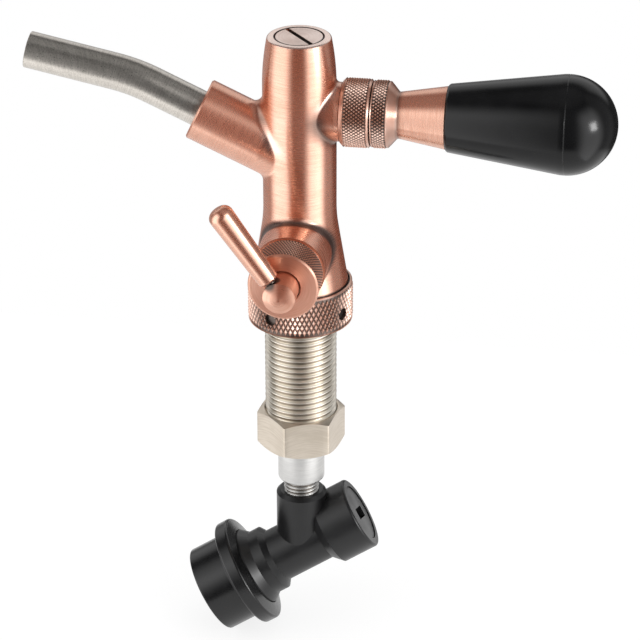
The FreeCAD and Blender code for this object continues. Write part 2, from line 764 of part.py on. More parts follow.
cam_turn = math.radians(-CAM_BEFORE_MID)
cam_x = CAM_OFFSET * math.cos(cam_turn)
cam_z = CAM_OFFSET * math.sin(cam_turn)
cam = rod(CAM_R, SHAFT_INNER_END - CAM_LENGTH, SHAFT_INNER_END + 0.5)
cam.translate(vec(cam_x, cam_z, 0))
shaft = aimed(turned(shaft_points).fuse(cam), *flow_place)
lever_turn = math.radians(LEVER_TURN)
lever_along = vec(-math.sin(lever_turn), 0, math.cos(lever_turn))
lever_place = (vec(0, -LEVER_AT, flow_z), lever_along, RIGHT)
neck_low = SHAFT_OUT_R - LEVER_NECK_DEPTH
shaft = shaft.cut(aimed(rod(LEVER_NECK_R + THREAD_GAP, neck_low, SHAFT_OUT_R + 1), *lever_place))
keep("flow_shaft", shaft)
shaft_ring_r = FLOW_BORE_R - RING_GAP - RING_WIRE_R
shaft_rings = [
    aimed(rubber_ring(shaft_ring_r, RING_WIRE_R, at), *flow_place)
    for at in (SHAFT_RING_AT, SHAFT_RING_AT + SHAFT_RING_STEP)
]
keep("shaft_o_rings", *shaft_rings)

# Flow lever: a taper that widens to a rounded tip
tip_round = LEVER_TIP_R * 0.7
lever_pin = turned(
    [
        (0, neck_low + 0.1),
        (LEVER_NECK_R, neck_low + 0.1),
        (LEVER_NECK_R, LEVER_ROOT),
        (LEVER_ROOT_R - LEVER_ROOT_CHAMFER, LEVER_ROOT),
        (LEVER_ROOT_R, LEVER_ROOT + LEVER_ROOT_CHAMFER),
        (LEVER_TIP_R, LEVER_END - tip_round),
        (LEVER_TIP_R - tip_round, LEVER_END, tip_round),
        (0, LEVER_END),
    ]
)
keep("flow_lever_pin", aimed(lever_pin, *lever_place))

# Cone that the cam pin lifts, with flow notches in its flanges
cone_flange_r = INLET_R - CONE_FLANGE_GAP
groove_mid = flow_z + cam_z
groove_half = CAM_R + CONE_GROOVE_GAP
groove_low = groove_mid - groove_half
groove_top = groove_mid + groove_half
cone_low = groove_low - CONE_FLANGE_THICK
cone_top = groove_top + CONE_FLANGE_THICK
taper_top_r = bore_at(shank_top) - CONE_FLOW_GAP
taper_end_r = bore_at(CONE_END_Z) - CONE_FLOW_GAP
cone_points = [
    (0, CONE_END_Z - taper_end_r * 0.6),
    (taper_end_r * 0.5, CONE_END_Z - taper_end_r * 0.45),
    (taper_end_r, CONE_END_Z),
    (taper_top_r, shank_top),
    (taper_top_r, cone_low),
    (cone_flange_r, cone_low),
    (cone_flange_r, groove_low),
    (CONE_NECK_R, groove_low),
    (CONE_NECK_R, groove_top),
    (cone_flange_r, groove_top),
    (cone_flange_r, cone_top),
    (0, cone_top),
]
notches = []
for angle in (0, 90, 180):
    notch = rod(CONE_NOTCH_R, cone_low - 1, cone_top + 1)
    notch.translate(vec(cone_flange_r + CONE_NOTCH_R * 0.3, 0, 0))
    notches.append(spun(notch, angle))
keep("compensator_cone", turned(cone_points).cut(notches))

# Coupling nut, with its four spanner holes
nut = turned(
    [
        (SHANK_R + SHOW_GAP, NUT_BOTTOM_Z),
        (nut_r - 0.3, NUT_BOTTOM_Z),
        (nut_r, NUT_BOTTOM_Z + 0.3),
        (nut_r, nut_top - NUT_CHAMFER),
        (nut_mouth_r + 0.2, nut_top),
        (nut_mouth_r, nut_top),
        (nut_mouth_r, mouth_floor),
        (TAIL_THREAD_R + THREAD_GAP, mouth_floor),
        (TAIL_THREAD_R + THREAD_GAP, NUT_BOTTOM_Z + NUT_FLOOR_THICK),
        (SHANK_R + SHOW_GAP, NUT_BOTTOM_Z + NUT_FLOOR_THICK),
    ]
)
holes = []
for k in range(4):
    turn = math.radians(SPANNER_HOLE_TURN + 90 * k - 90)
    hole = rod(SPANNER_HOLE_R, nut_r - SPANNER_HOLE_DEPTH, nut_r + 1)
    outward = vec(math.cos(turn), math.sin(turn), 0)
    holes.append(aimed(hole, vec(0, 0, NUT_BOTTOM_Z + SPANNER_HOLE_UP), outward, UP))
keep("coupling_nut", nut.cut(holes))
keep("tail_gasket", ring(INLET_R + 0.2, shank_collar_r, shank_top, shank_top + TAIL_GASKET_THICK))

# Shank with its collar, tapered bore and thread, which runs out just under the collar
shank = turned(
    [
        (BORE_END_R, shank_bottom),
        (SHANK_R - 0.6, shank_bottom),
        (SHANK_R, shank_bottom + 0.6),
        (SHANK_R, shank_collar_low),
        (shank_collar_r, shank_collar_low),
        (shank_collar_r, shank_top),
        (BORE_TOP_R, shank_top),
    ]
)
groove_start = shank_bottom - SHANK_PITCH
groove_end = shank_collar_low - SHANK_PITCH * 0.6
thread_form = (SHANK_R, SHANK_PITCH, SHANK_THREAD_DEPTH, SHANK_THREAD_ROOT)
keep("shank", shank.cut(thread_groove(*thread_form, groove_start, groove_end)))

# Hex tail nut, chamfered at both ends
hex_low = -HEX_HEIGHT
hex_floor = hex_low + HEX_FLOOR_THICK
face_r = hex_across / 2 - 0.15
corner_r = hex_across / math.sqrt(3)
corner_drop = (corner_r - face_r) * math.tan(math.radians(30))
thread_r = SHANK_R + THREAD_GAP
hex_envelope = turned(
    [
        (SLEEVE_R + 0.15, hex_low),
        (face_r, hex_low),
        (corner_r, hex_low + corner_drop),
        (corner_r, -corner_drop),
        (face_r, 0),
        (thread_r + 0.35, 0),
        (thread_r, -0.35),
        (thread_r, hex_floor),
        (SLEEVE_R + 0.15, hex_floor),
    ]
)
hex_bar = prism(hexagon(hex_across, HEX_TURN - 90), hex_low - 1, 1)
keep("tail_nut", hex_envelope.common(hex_bar))

# Tail adapter: flange, sleeve and flare nipple, with a gasket above
gasket_low = shank_bottom - ADAPTER_GASKET_THICK
flange_low = hex_floor + SEAT_GAP
nipple_low = SLEEVE_END_Z - NIPPLE_LENGTH
flange_r = SHANK_R - 0.8
adapter = turned(
    [
        (ADAPTER_BORE_R, nipple_low),
        (NIPPLE_R - 0.8, nipple_low),
        (NIPPLE_R, nipple_low + 0.8),
        (NIPPLE_R, SLEEVE_END_Z),
        (SLEEVE_R - SLEEVE_ROUND, SLEEVE_END_Z),
        (SLEEVE_R, SLEEVE_END_Z + SLEEVE_ROUND, SLEEVE_ROUND),
        (SLEEVE_R, flange_low),
        (flange_r, flange_low),
        (flange_r, gasket_low),
        (ADAPTER_BORE_R, gasket_low),
    ]
)
keep("tail_adapter", adapter)
keep("adapter_gasket", ring(BORE_END_R, flange_r, gasket_low, shank_bottom))
washer_low = nipple_low - FLARE_WASHER_THICK
keep("flare_washer", ring(ADAPTER_BORE_R + 0.1, NIPPLE_R - 0.1, washer_low, nipple_low))

# Disconnect body: a turned moulding along the leaning axis, with an upright threaded stem
disc_rise = math.radians(DISC_RISE)
disc_turn = math.radians(DISC_TURN)
level = math.cos(disc_rise)
disc_along = vec(level * math.cos(disc_turn), level * math.sin(disc_turn), math.sin(disc_rise))
disc_place = (vec(0, 0, DISC_Z), disc_along, UP)
stop_low = STOP_RING_AT - STOP_RING_THICK / 2
stop_high = STOP_RING_AT + STOP_RING_THICK / 2
disc_outline = turned(
    [
        (0, DISC_SKIRT_END),
        (DISC_SKIRT_R - 0.4, DISC_SKIRT_END),
        (DISC_SKIRT_R, DISC_SKIRT_END + 0.4),
        (DISC_SKIRT_R, SPRING_SHELF),
        (DISC_RIM_R, SPRING_SHELF),
        (DISC_RIM_R, BELL_FRONT),
        (DISC_BELL_R, BELL_BACK),
        (DISC_BELL_R, NECK_FRONT),
        (DISC_NECK_R, NECK_FRONT + 1.6),
        (DISC_NECK_R, NECK_BACK),
        (DISC_NECK_R + 0.62, NECK_BACK),
        (DISC_HEAD_R, HEAD_FRONT),
        (DISC_HEAD_R, DISC_HEAD_END - DISC_HEAD_ROUND),
        (DISC_HEAD_R - DISC_HEAD_ROUND, DISC_HEAD_END, DISC_HEAD_ROUND),
        (0, DISC_HEAD_END),
    ]
)
stem_top = DISC_Z + STEM_ABOVE_AXIS
stem = turned(
    [
        (0, DISC_Z),
        (STEM_OUT_R, DISC_Z),
        (STEM_OUT_R, stem_top - STEM_CHAMFER),
        (STEM_OUT_R - STEM_CHAMFER, stem_top),
        (0, stem_top),
    ]
)
post_step = DISC_SKIRT_END + POST_MOUTH_DEPTH
head_bore_r = DISC_PLUG_R + THREAD_GAP
groove = ring(DISC_SKIRT_R - STOP_RING_DEPTH, DISC_SKIRT_R + 1, stop_low, stop_high)
disc_cuts = [
    groove,
    rod(POST_MOUTH_R, DISC_SKIRT_END - 1, post_step),
    rod(POST_R, post_step - 1, POST_FLOOR),
    rod(POPPET_HOLE_R, POST_FLOOR - 1, POPPET_SEAT + 1),
    rod(CAVITY_R, POPPET_SEAT, HEAD_BORE_START + 1),
    rod(head_bore_r, HEAD_BORE_START, DISC_HEAD_END + 1),
]
balls = []
ball_path_r = LAND_R - SEAT_GAP - LOCK_BALL_R
for k in range(LOCK_BALLS):
    turn = 360 * k / LOCK_BALLS + 45
    hole = rod(LOCK_BALL_R + 0.1, POST_R - 1, DISC_SKIRT_R + 1)
    hole = aimed(hole, vec(0, 0, LOCK_BALL_AT), RIGHT, UP)
    disc_cuts.append(spun(hole, turn))
    lock_ball = Part.makeSphere(LOCK_BALL_R, vec(ball_path_r, 0, LOCK_BALL_AT))
    balls.append(aimed(spun(lock_ball, turn), *disc_place))
disc = aimed(disc_outline, *disc_place).fuse(stem)
disc = disc.cut([aimed(cut, *disc_place) for cut in disc_cuts])
stem_bore_low = washer_low
disc = disc.cut(
    [
        rod(NIPPLE_R + THREAD_GAP, stem_bore_low, stem_top + 1),
        rod(ADAPTER_BORE_R + 0.2, DISC_Z, stem_bore_low + 1),
    ]
)
keep("disconnect_body", disc)
keep("lock_balls", *balls)

# Release collar around the skirt
release = turned(
    [
        (SLEEVE_MOUTH_R, SLEEVE_END),
        (SLEEVE_OUT_R - SLEEVE_EDGE, SLEEVE_END),
        (SLEEVE_OUT_R, SLEEVE_END + SLEEVE_EDGE, SLEEVE_EDGE),
        (SLEEVE_OUT_R, GRIP_REAR),
        (SLEEVE_OUT_R + 1.0, GRIP_REAR + 1.0, -1.0),
        (GRIP_R - GRIP_ROUND, GRIP_REAR + 1.0),
        (GRIP_R, GRIP_REAR + 1.0 + GRIP_ROUND, GRIP_ROUND),
        (GRIP_R, GRIP_FRONT - GRIP_ROUND),
        (GRIP_R - GRIP_ROUND, GRIP_FRONT, GRIP_ROUND),
        (SLEEVE_BORE_R, GRIP_FRONT + GRIP_DISH),
        (SLEEVE_BORE_R, LAND_END),
        (LAND_R, LAND_END),
        (LAND_R, LAND_START + 0.8),
        (LAND_R + 0.8, LAND_START),
        (SLEEVE_MOUTH_R, LAND_START),
    ]
)
keep("release_collar", aimed(release, *disc_place))
spring_mid = (SLEEVE_BORE_R + DISC_SKIRT_R) / 2
collar_spring = coil(spring_mid, COLLAR_SPRING_WIRE, LAND_END, SPRING_SHELF, COLLAR_SPRING_TURNS)
keep("collar_spring", aimed(collar_spring, *disc_place))
stop_in = DISC_SKIRT_R - STOP_RING_DEPTH + 0.05
stop = ring(stop_in, stop_in + STOP_RING_WIDTH, stop_low + 0.05, stop_high - 0.05)
stop = stop.cut(box((0, DISC_RIM_R + 2), (-1.5, 1.5), (stop_low - 1, stop_high + 1)))
keep("retaining_ring", aimed(stop, *disc_place))

# Poppet with its seal and spring
seal_back = POPPET_SEAT + SEAT_GAP + POPPET_SEAL_THICK
flange_back = seal_back + POPPET_FLANGE_THICK
poppet = turned(
    [
        (0, POPPET_TIP),
        (POPPET_PIN_R - 0.6, POPPET_TIP),
        (POPPET_PIN_R, POPPET_TIP + 0.6),
        (POPPET_PIN_R, seal_back),
        (POPPET_SEAL_R, seal_back),
        (POPPET_SEAL_R, flange_back),
        (POPPET_PIN_R, flange_back),
        (POPPET_PIN_R, flange_back + POPPET_TAIL),
        (0, flange_back + POPPET_TAIL),
    ]
)
keep("poppet", aimed(poppet, *disc_place))
poppet_seal = ring(POPPET_PIN_R + RING_GAP, POPPET_SEAL_R, POPPET_SEAT + SEAT_GAP, seal_back)
keep("poppet_seal", aimed(poppet_seal, *disc_place))
nose_front = HEAD_BORE_START - 1.0
coil_mid = (POPPET_PIN_R + POPPET_SEAL_R) / 2 + 0.3
poppet_spring = coil(coil_mid, POPPET_SPRING_WIRE, flange_back, nose_front, POPPET_SPRING_TURNS)
keep("poppet_spring", aimed(poppet_spring, *disc_place))

# Slotted plug in the head, with its gasket
plug_back = HEAD_BORE_START + DISC_PLUG_GASKET
plug_face = DISC_HEAD_END - DISC_PLUG_BELOW
disc_plug = turned(
    [
        (0, nose_front),
        (CAVITY_R - 0.2, nose_front),
        (CAVITY_R - 0.2, plug_back),
        (DISC_PLUG_R, plug_back),
        (DISC_PLUG_R, plug_face - 0.25),
        (DISC_PLUG_R - 0.25, plug_face),
        (0, plug_face),
    ]
)
half_w = DISC_SLOT_WIDTH / 2
half_l = DISC_SLOT_LENGTH / 2
disc_slot = box((-half_w, half_w), (-half_l, half_l), (plug_face - DISC_SLOT_DEPTH, plug_face + 1))
disc_plug = disc_plug.cut(spun(disc_slot, -DISC_SLOT_TURN))
keep("disconnect_plug", aimed(disc_plug, *disc_place))
disc_gasket = ring(CAVITY_R, DISC_PLUG_R, HEAD_BORE_START, plug_back)
keep("disconnect_plug_gasket", aimed(disc_gasket, *disc_place))
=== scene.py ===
# %% [markdown]
# A beer tap with a flow lever, on its threaded shank and keg disconnect.
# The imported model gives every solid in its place. This notebook gives them their finishes, and models
# again, in more detail, the pieces whose knurls, threads, edges and coils are too fine for the solids.

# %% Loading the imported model
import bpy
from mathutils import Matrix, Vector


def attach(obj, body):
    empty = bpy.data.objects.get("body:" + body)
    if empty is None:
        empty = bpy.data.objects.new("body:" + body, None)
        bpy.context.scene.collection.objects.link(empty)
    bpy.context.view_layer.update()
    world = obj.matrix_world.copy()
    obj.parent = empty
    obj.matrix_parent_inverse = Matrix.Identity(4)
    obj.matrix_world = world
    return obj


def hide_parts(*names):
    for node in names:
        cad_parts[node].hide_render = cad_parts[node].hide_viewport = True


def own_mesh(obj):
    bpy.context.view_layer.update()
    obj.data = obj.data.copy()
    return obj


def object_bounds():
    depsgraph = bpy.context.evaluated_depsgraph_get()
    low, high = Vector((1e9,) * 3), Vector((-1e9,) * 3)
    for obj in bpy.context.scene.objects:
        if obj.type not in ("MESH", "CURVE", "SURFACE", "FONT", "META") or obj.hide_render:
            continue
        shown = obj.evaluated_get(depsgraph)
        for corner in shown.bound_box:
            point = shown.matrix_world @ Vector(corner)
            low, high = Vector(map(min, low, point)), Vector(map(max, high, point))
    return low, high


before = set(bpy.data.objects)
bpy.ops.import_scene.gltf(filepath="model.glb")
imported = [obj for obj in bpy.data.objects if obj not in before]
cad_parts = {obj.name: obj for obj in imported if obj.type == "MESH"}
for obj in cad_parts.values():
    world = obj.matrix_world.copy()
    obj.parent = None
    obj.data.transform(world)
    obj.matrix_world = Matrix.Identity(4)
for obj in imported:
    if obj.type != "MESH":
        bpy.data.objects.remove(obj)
cad_box = [list(corner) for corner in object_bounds()]

import math
import bpy
from mathutils import Matrix, Vector

MM = 0.001
print("CAD nodes:", len(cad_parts), "box in m:", cad_box)

# %% [markdown]
# Every colour is written as the hex value seen on a screen. Blender's shaders work in linear light, so
# one function converts them all. One more function adds a shader node, sets it up, and feeds its inputs.

# %% Colour and node helpers
def linear(code):
    """The linear RGBA value of a hex colour."""
    values = [int(code[k : k + 2], 16) / 255 for k in (1, 3, 5)]
    return tuple(v / 12.92 if v < 0.04045 else ((v + 0.055) / 1.055) ** 2.4 for v in values) + (1.0,)


def add(owner, kind, *sources, inputs=None, **settings):
    """Adds a node. Sources feed its open inputs in order, and each is a value, a node or an output."""
    node = owner.node_tree.nodes.new("ShaderNode" + kind)
    for name, value in settings.items():
        setattr(node, name, value)
    pairs = list(zip([socket for socket in node.inputs if socket.enabled], sources))
    pairs += [(node.inputs[name], source) for name, source in (inputs or {}).items()]
    for socket, source in pairs:
        if isinstance(source, bpy.types.Node):
            source = [output for output in source.outputs if output.enabled][0]
        if isinstance(source, bpy.types.NodeSocket):
            owner.node_tree.links.new(source, socket)
        else:
            socket.default_value = source
    return node


def new_material(name):
    """A material with an empty tree, and the object coordinates that its patterns read."""
    material = bpy.data.materials.new(name)
    material.use_nodes = True
    material.node_tree.nodes.clear()
    return material, add(material, "TexCoord").outputs["Object"]


def give(material, *nodes):
    """CAD nodes keep their shape and get this material."""
    for node in nodes:
        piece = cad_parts[node]
        piece.data.materials.clear()
        piece.data.materials.append(material)
    print(material.name, "on", ", ".join(nodes))


# %% [markdown]
# Patterns on turned metal follow the axis it was turned about. These helpers give a point's distance
# from such an axis and its place along it, fade one value into another, combine masks, and draw the fine
# lines that brushing leaves round the axis.

# %% Pattern helpers
SOFT = {"interpolation_type": "SMOOTHSTEP"}
BRUSH_LENGTH = 6.0


def from_axis(material, place, centre, axis):
    """The distance in metres of each point from an axis through centre, which is in millimetres."""
    offset = add(material, "VectorMath", place, Vector(centre) * MM, operation="SUBTRACT")
    across = add(material, "VectorMath", offset, axis, operation="CROSS_PRODUCT")
    return add(material, "VectorMath", across, operation="LENGTH")


def along_axis(material, place, axis, centre=None):
    """How far along an axis each point is, in metres, from the origin or from a centre in millimetres."""
    if centre:
        place = add(material, "VectorMath", place, Vector(centre) * MM, operation="SUBTRACT")
    return add(material, "VectorMath", place, axis, operation="DOT_PRODUCT")


def ramp(material, length, low, high, start=0.0, end=1.0, kind="SMOOTHSTEP"):
    """From start to end, while a length in metres goes from low to high in millimetres."""
    return add(material, "MapRange", length, low * MM, high * MM, start, end, interpolation_type=kind)


def times(material, *values):
    """The product of several masks."""
    product = values[0]
    for value in values[1:]:
        product = add(material, "Math", product, value, operation="MULTIPLY")
    return product


def most_of(material, *masks):
    """The largest of several masks."""
    largest = masks[0]
    for mask in masks[1:]:
        largest = add(material, "Math", largest, mask, operation="MAXIMUM")
    return largest


def between(material, value, low, high, edge):
    """1 from low to high and 0 outside, with soft edges."""
    rise = add(material, "MapRange", value, low - edge, low + edge, 0.0, 1.0, **SOFT)
    fall = add(material, "MapRange", value, high - edge, high + edge, 1.0, 0.0, **SOFT)
    return times(material, rise, fall)


def band(material, length, low, high, edge):
    """The same for a length in metres, with its limits in millimetres."""
    return between(material, length, low * MM, high * MM, edge * MM)


def brush_lines(material, place, turning, spacing):
    """Noise drawn out round an axis, as abrasive leaves it: lines on a wall, and rings on a face."""
    centre, axis = turning
    along, off = along_axis(material, place, axis), from_axis(material, place, centre, axis)
    station = add(material, "Math", along, off)
    fast = add(material, "VectorMath", axis, operation="SCALE", inputs={"Scale": station})
    fast = add(material, "VectorMath", fast, operation="SCALE", inputs={"Scale": 1 / (spacing * MM)})
    slow = add(material, "VectorMath", place, operation="SCALE", inputs={"Scale": 1 / (BRUSH_LENGTH * MM)})
    both = add(material, "VectorMath", fast, slow, operation="ADD")
    return add(material, "TexNoise", both, 1.0, 2.0)


# %% [markdown]
# The tap is brass with an antique copper plate. Wheels brushed it round each axis, which leaves fine
# lines and draws highlights out along the axis. The plate is a bright metal under a brown oxide that the
# brushing has half cut through, in scratches finer than a pixel. So two shaders are mixed, bright metal and
# matt brown, and the noise of the lines drives their shares. A grey-black patina stays where no wheel or
# cloth reaches: in creases and knurl valleys. The same grey-black is also painted shade in some creases,
# slots and holes, and a pale bare tone is also painted highlights. Radii and heights are in millimetres,
# from the imported model.

# %% Antique copper plate
X_AXIS = (1.0, 0.0, 0.0)
FRONT_AXIS = (0.0, -1.0, 0.0)
Z_AXIS = (0.0, 0.0, 1.0)
HANDLE_Z, SPOUT_Z, FLOW_Z, TOP_Z = 100.68, 84.95, 57.65, 123.8
BARREL_R, BARREL_R_BY_SPOUT, BARREL_R_BY_FLOW = 11.1, 11.4, 12.7
HANDLE_BOSS_R, SPOUT_BOSS_R, FLOW_BOSS_R = 8.9, 9.55, 10.9
SPOUT_RISE = math.radians(25.1)
SPOUT_AXIS = (-math.cos(SPOUT_RISE), 0.0, math.sin(SPOUT_RISE))
LEVER_LEAN = math.radians(34.8)
LEVER_AXIS = (-math.sin(LEVER_LEAN), 0.0, math.cos(LEVER_LEAN))
BARREL = ((0, 0, 0), Z_AXIS)
HANDLE = ((0, 0, HANDLE_Z), X_AXIS)
SPOUT = ((0, 0, SPOUT_Z), SPOUT_AXIS)
FLOW = ((0, 0, FLOW_Z), FRONT_AXIS)
LEVER = ((0, -38.3, FLOW_Z), LEVER_AXIS)
COPPER = ("#FBD4BE", "#F2C7AE")
OXIDE = ("#C5603F", "#B85735")
# The pale colour is both bare plate and painted highlight, and the grey-black both patina and painted shade.
WORN_AND_HIGHLIGHT = "#F6E4DA"
PATINA_AND_SHADE = "#241E1B"
WORN_AND_HIGHLIGHT_SHARE, PATINA_AND_SHADE_SHARE = 0.12, 0.93


def copper_plate(
    name, turning, spacing=0.3, rough=0.27, patina_and_shade=None, worn_and_highlight=None,
    metal=COPPER, oxide=OXIDE, cover=0.45, bosses=(),
):
    """Brushed copper plate. Lengths are in millimetres.

    turning: centre and axis that the piece was brushed round.
    spacing: width of one brush line.
    the two mask functions: the dark places, patina and painted shade, and the pale ones, bare plate and
    painted highlights.
    metal, oxide: two colours each, for the lighter and the darker lines.
    cover: how much of the surface the oxide still covers.
    bosses: turning, radius and start of each boss that is brushed round its own axis.
    """
    material, place = new_material(name)
    lines = brush_lines(material, place, turning, spacing)
    tangent = add(material, "CombineXYZ", *turning[1])
    for boss, radius, start in bosses:
        wall = ramp(material, from_axis(material, place, *boss), radius + 0.3, radius + 1.5, 1.0, 0.0)
        here = ramp(material, along_axis(material, place, boss[1], boss[0]), start, start + 2)
        here = times(material, here, wall)
        lines = add(material, "Mix", here, lines, brush_lines(material, place, boss, spacing))
        own_tangent = add(material, "CombineXYZ", *boss[1])
        tangent = add(material, "Mix", here, tangent, own_tangent, data_type="VECTOR")
    cloud = add(material, "TexNoise", place, 70.0, 3.0)
    tone = add(material, "MapRange", add(material, "Mix", 0.45, lines, cloud), 0.3, 0.7, **SOFT)
    bright = add(material, "Mix", tone, linear(metal[1]), linear(metal[0]), data_type="RGBA")
    brown = add(material, "Mix", tone, linear(oxide[1]), linear(oxide[0]), data_type="RGBA")
    share = add(material, "MapRange", tone, 0.0, 1.0, cover + 0.04, cover - 0.04)
    roughness = add(material, "MapRange", lines, 0.3, 0.7, rough + 0.03, rough - 0.03)
    # Pale where the plate is bare and where highlights are painted; grey-black for patina and for painted
    # shade.
    if worn_and_highlight:
        bare_and_highlit = worn_and_highlight(material, place)
        share = add(material, "Mix", bare_and_highlit, share, WORN_AND_HIGHLIGHT_SHARE)
        bright = add(material, "Mix", bare_and_highlit, bright, linear(WORN_AND_HIGHLIGHT), data_type="RGBA")
    if patina_and_shade:
        dark = patina_and_shade(material, place)
        brown = add(material, "Mix", dark, brown, linear(PATINA_AND_SHADE), data_type="RGBA")
        share = add(material, "Mix", dark, share, PATINA_AND_SHADE_SHARE)
    bump = add(material, "Bump", 0.015, 0.02 * MM, inputs={"Height": lines})
    sockets = {"Base Color": bright, "Metallic": 1.0, "Roughness": roughness, "Anisotropic": 0.75}
    sockets.update({"Normal": bump, "Tangent": tangent})
    metal_shader = add(material, "BsdfPrincipled", inputs=sockets)
    sockets = {"Base Color": brown, "Metallic": 0.0, "Roughness": 0.42, "Normal": bump}
    oxide_shader = add(material, "BsdfPrincipled", inputs=sockets)
    add(material, "OutputMaterial", add(material, "MixShader", share, metal_shader, oxide_shader))
    return material


# %% [markdown]
# The tap body is one casting, so its finish is told apart by place. Each fillet between a boss and the
# barrel is found by its distances from both axes. Patina lies in the fillets where a wheel can't reach, with
# painted shade under the handle's boss and a painted shadow at the foot, and the plate is bare where one
# reached easily, as on the top face. Painted highlights, in that pale colour, lie beside the spout's boss
# and above the handle's.

# %% Tap body
PLUG_SEAM_R = (7.25, 7.65)
SKIRT_FOOT_Z = (44.8, 45.4)
BOSSES = ((HANDLE, HANDLE_BOSS_R, 10.5), (SPOUT, SPOUT_BOSS_R, 11.0), (FLOW, FLOW_BOSS_R, 12.0))


def top_face(material, place):
    """1 on the flat top of the tap, where the plate was faced bright."""
    return ramp(material, along_axis(material, place, Z_AXIS), TOP_Z - 0.25, TOP_Z, kind="LINEAR")


def plug_seam(material, place, inner, outer):
    """1 between two radii of the plug's axis."""
    return band(material, from_axis(material, place, *BARREL), inner, outer, 0.05)


def fillet_of(material, place, boss, boss_r, barrel_r, flat, width):
    """1 on the fillet between a boss's wall and the barrel's, and 0 beyond its width from either."""
    off_boss, off_barrel = from_axis(material, place, *boss), from_axis(material, place, *BARREL)
    outward = ramp(material, along_axis(material, place, boss[1], boss[0]), 2, 4)
    on_side = ramp(material, off_boss, boss_r - 1.2, boss_r - 0.2)
    on_boss = ramp(material, off_boss, boss_r + flat, boss_r + width, 1.0, 0.0)
    on_barrel = ramp(material, off_barrel, barrel_r + flat, barrel_r + width, 1.0, 0.0)
    return times(material, on_boss, on_side, on_barrel, outward)


def body_creases_and_shade(material, place):
    """Patina and painted shade under the handle's boss; patina behind it, over the spout's and round the
    other seams; a painted shadow at the foot.
    """
    height = along_axis(material, place, Z_AXIS)
    # Heavier under the handle's boss, as painted shade on top of the patina.
    under = ramp(material, height, HANDLE_Z - 1, HANDLE_Z + 6, 1.0, 0.3)
    behind = ramp(material, height, HANDLE_Z + 8.5, HANDLE_Z + 10)
    handle = fillet_of(material, place, HANDLE, HANDLE_BOSS_R, BARREL_R, 0.1, 3.6)
    handle = times(material, handle, most_of(material, under, behind), 0.9)
    over = ramp(material, height, SPOUT_Z + 10, SPOUT_Z + 15, 0.0, 1.1)
    spout = times(material, fillet_of(material, place, SPOUT, SPOUT_BOSS_R, BARREL_R, 0.1, 3.6), over)
    flow = fillet_of(material, place, FLOW, FLOW_BOSS_R, BARREL_R_BY_FLOW, 0.3, 1.7)
    plug = times(material, plug_seam(material, place, *PLUG_SEAM_R), top_face(material, place))
    # A painted shadow at the foot, where the body stands on the coupling nut.
    skirt = ramp(material, height, *SKIRT_FOOT_Z, 0.95, 0.0)
    return most_of(material, handle, spout, times(material, flow, 0.95), plug, skirt)


def body_worn_and_highlights(material, place):
    """Bare on the top face, and painted highlights in the same pale colour beside the spout's boss and above
    the handle's.
    """
    height = along_axis(material, place, Z_AXIS)
    # Painted highlights above the handle's boss and beside the spout's.
    above = band(material, height, HANDLE_Z + 3, HANDLE_Z + 9, 1.5)
    handle = fillet_of(material, place, HANDLE, HANDLE_BOSS_R, BARREL_R, 0.1, 2.0)
    beside = band(material, height, SPOUT_Z + 5, SPOUT_Z + 11, 2.5)
    spout = fillet_of(material, place, SPOUT, SPOUT_BOSS_R, BARREL_R_BY_SPOUT, 0.6, 2.6)
    handle, spout = times(material, handle, above, 0.8), times(material, spout, beside, 0.8)
    return most_of(material, top_face(material, place), handle, spout)


copper = copper_plate(
    "antique copper plate, brushed", BARREL, patina_and_shade=body_creases_and_shade, worn_and_highlight=body_worn_and_highlights, bosses=BOSSES
)
give(copper, "tap_body")

# %% [markdown]
# The ferrule, the flow shaft, its lever and the plug keep the shapes of their solids too. Patina stays in
# the ferrule's neck and round the plug's edge. Shade is painted at the lever's foot and in the plug's slot.

# %% Ferrule, shaft, lever and plug
NECK_X, CONE_X = (29.2, 30.9), (27.0, 30.5)
PLUG_EDGE_R = (7.0, 7.4)
FACED_LOOK = {"metal": ("#F8EAE2", "#EEDBD0"), "oxide": ("#D2ADA0", "#C49C8E"), "cover": 0.35}


def neck_patina(material, place):
    """Dark in the hollow neck where the lever's collar meets the ferrule, and dull on the collar's cone."""
    station = along_axis(material, place, X_AXIS)
    neck = times(material, band(material, station, *NECK_X, 0.7), 0.7)
    cone = times(material, band(material, station, *CONE_X, 0.3), 0.4)
    return most_of(material, neck, cone)


def lever_foot_shade(material, place):
    """Painted shade where the lever's foot meets the shaft, on both of them."""
    off_lever = ramp(material, from_axis(material, place, *LEVER), 2.5, 3.3, 1.0, 0.0)
    station = along_axis(material, place, LEVER_AXIS, LEVER[0])
    foot = ramp(material, station, 5.6, 6.3, 1.0, 0.0)
    return times(material, foot, off_lever, ramp(material, station, 1.0, 2.0, kind="LINEAR"))


def plug_slot_shade_and_seam(material, place):
    """Painted shade in the plug's driver slot, and a dark line round its edge."""
    height = along_axis(material, place, Z_AXIS)
    # Painted shade down in the slot.
    slot = ramp(material, height, TOP_Z - 0.1, TOP_Z + 0.05, 1.0, 0.0, kind="LINEAR")
    return most_of(material, slot, plug_seam(material, place, *PLUG_EDGE_R))


for node, name, turning, settings in (
    ("handle_ferrule", "brushed round the handle", HANDLE, {"cover": 0.4, "patina_and_shade": neck_patina}),
    ("flow_shaft", "brushed round the flow shaft", FLOW, {"rough": 0.3, "patina_and_shade": lever_foot_shade}),
    ("flow_lever_pin", "brushed round the lever", LEVER,
     {"spacing": 0.2, "cover": 0.38, "patina_and_shade": lever_foot_shade}),
    ("front_plug", "faced flat", BARREL,
     {"spacing": 0.5, "rough": 0.36, "patina_and_shade": plug_slot_shade_and_seam, **FACED_LOOK}),
):
    give(copper_plate("antique copper plate, " + name, turning, **settings), node)

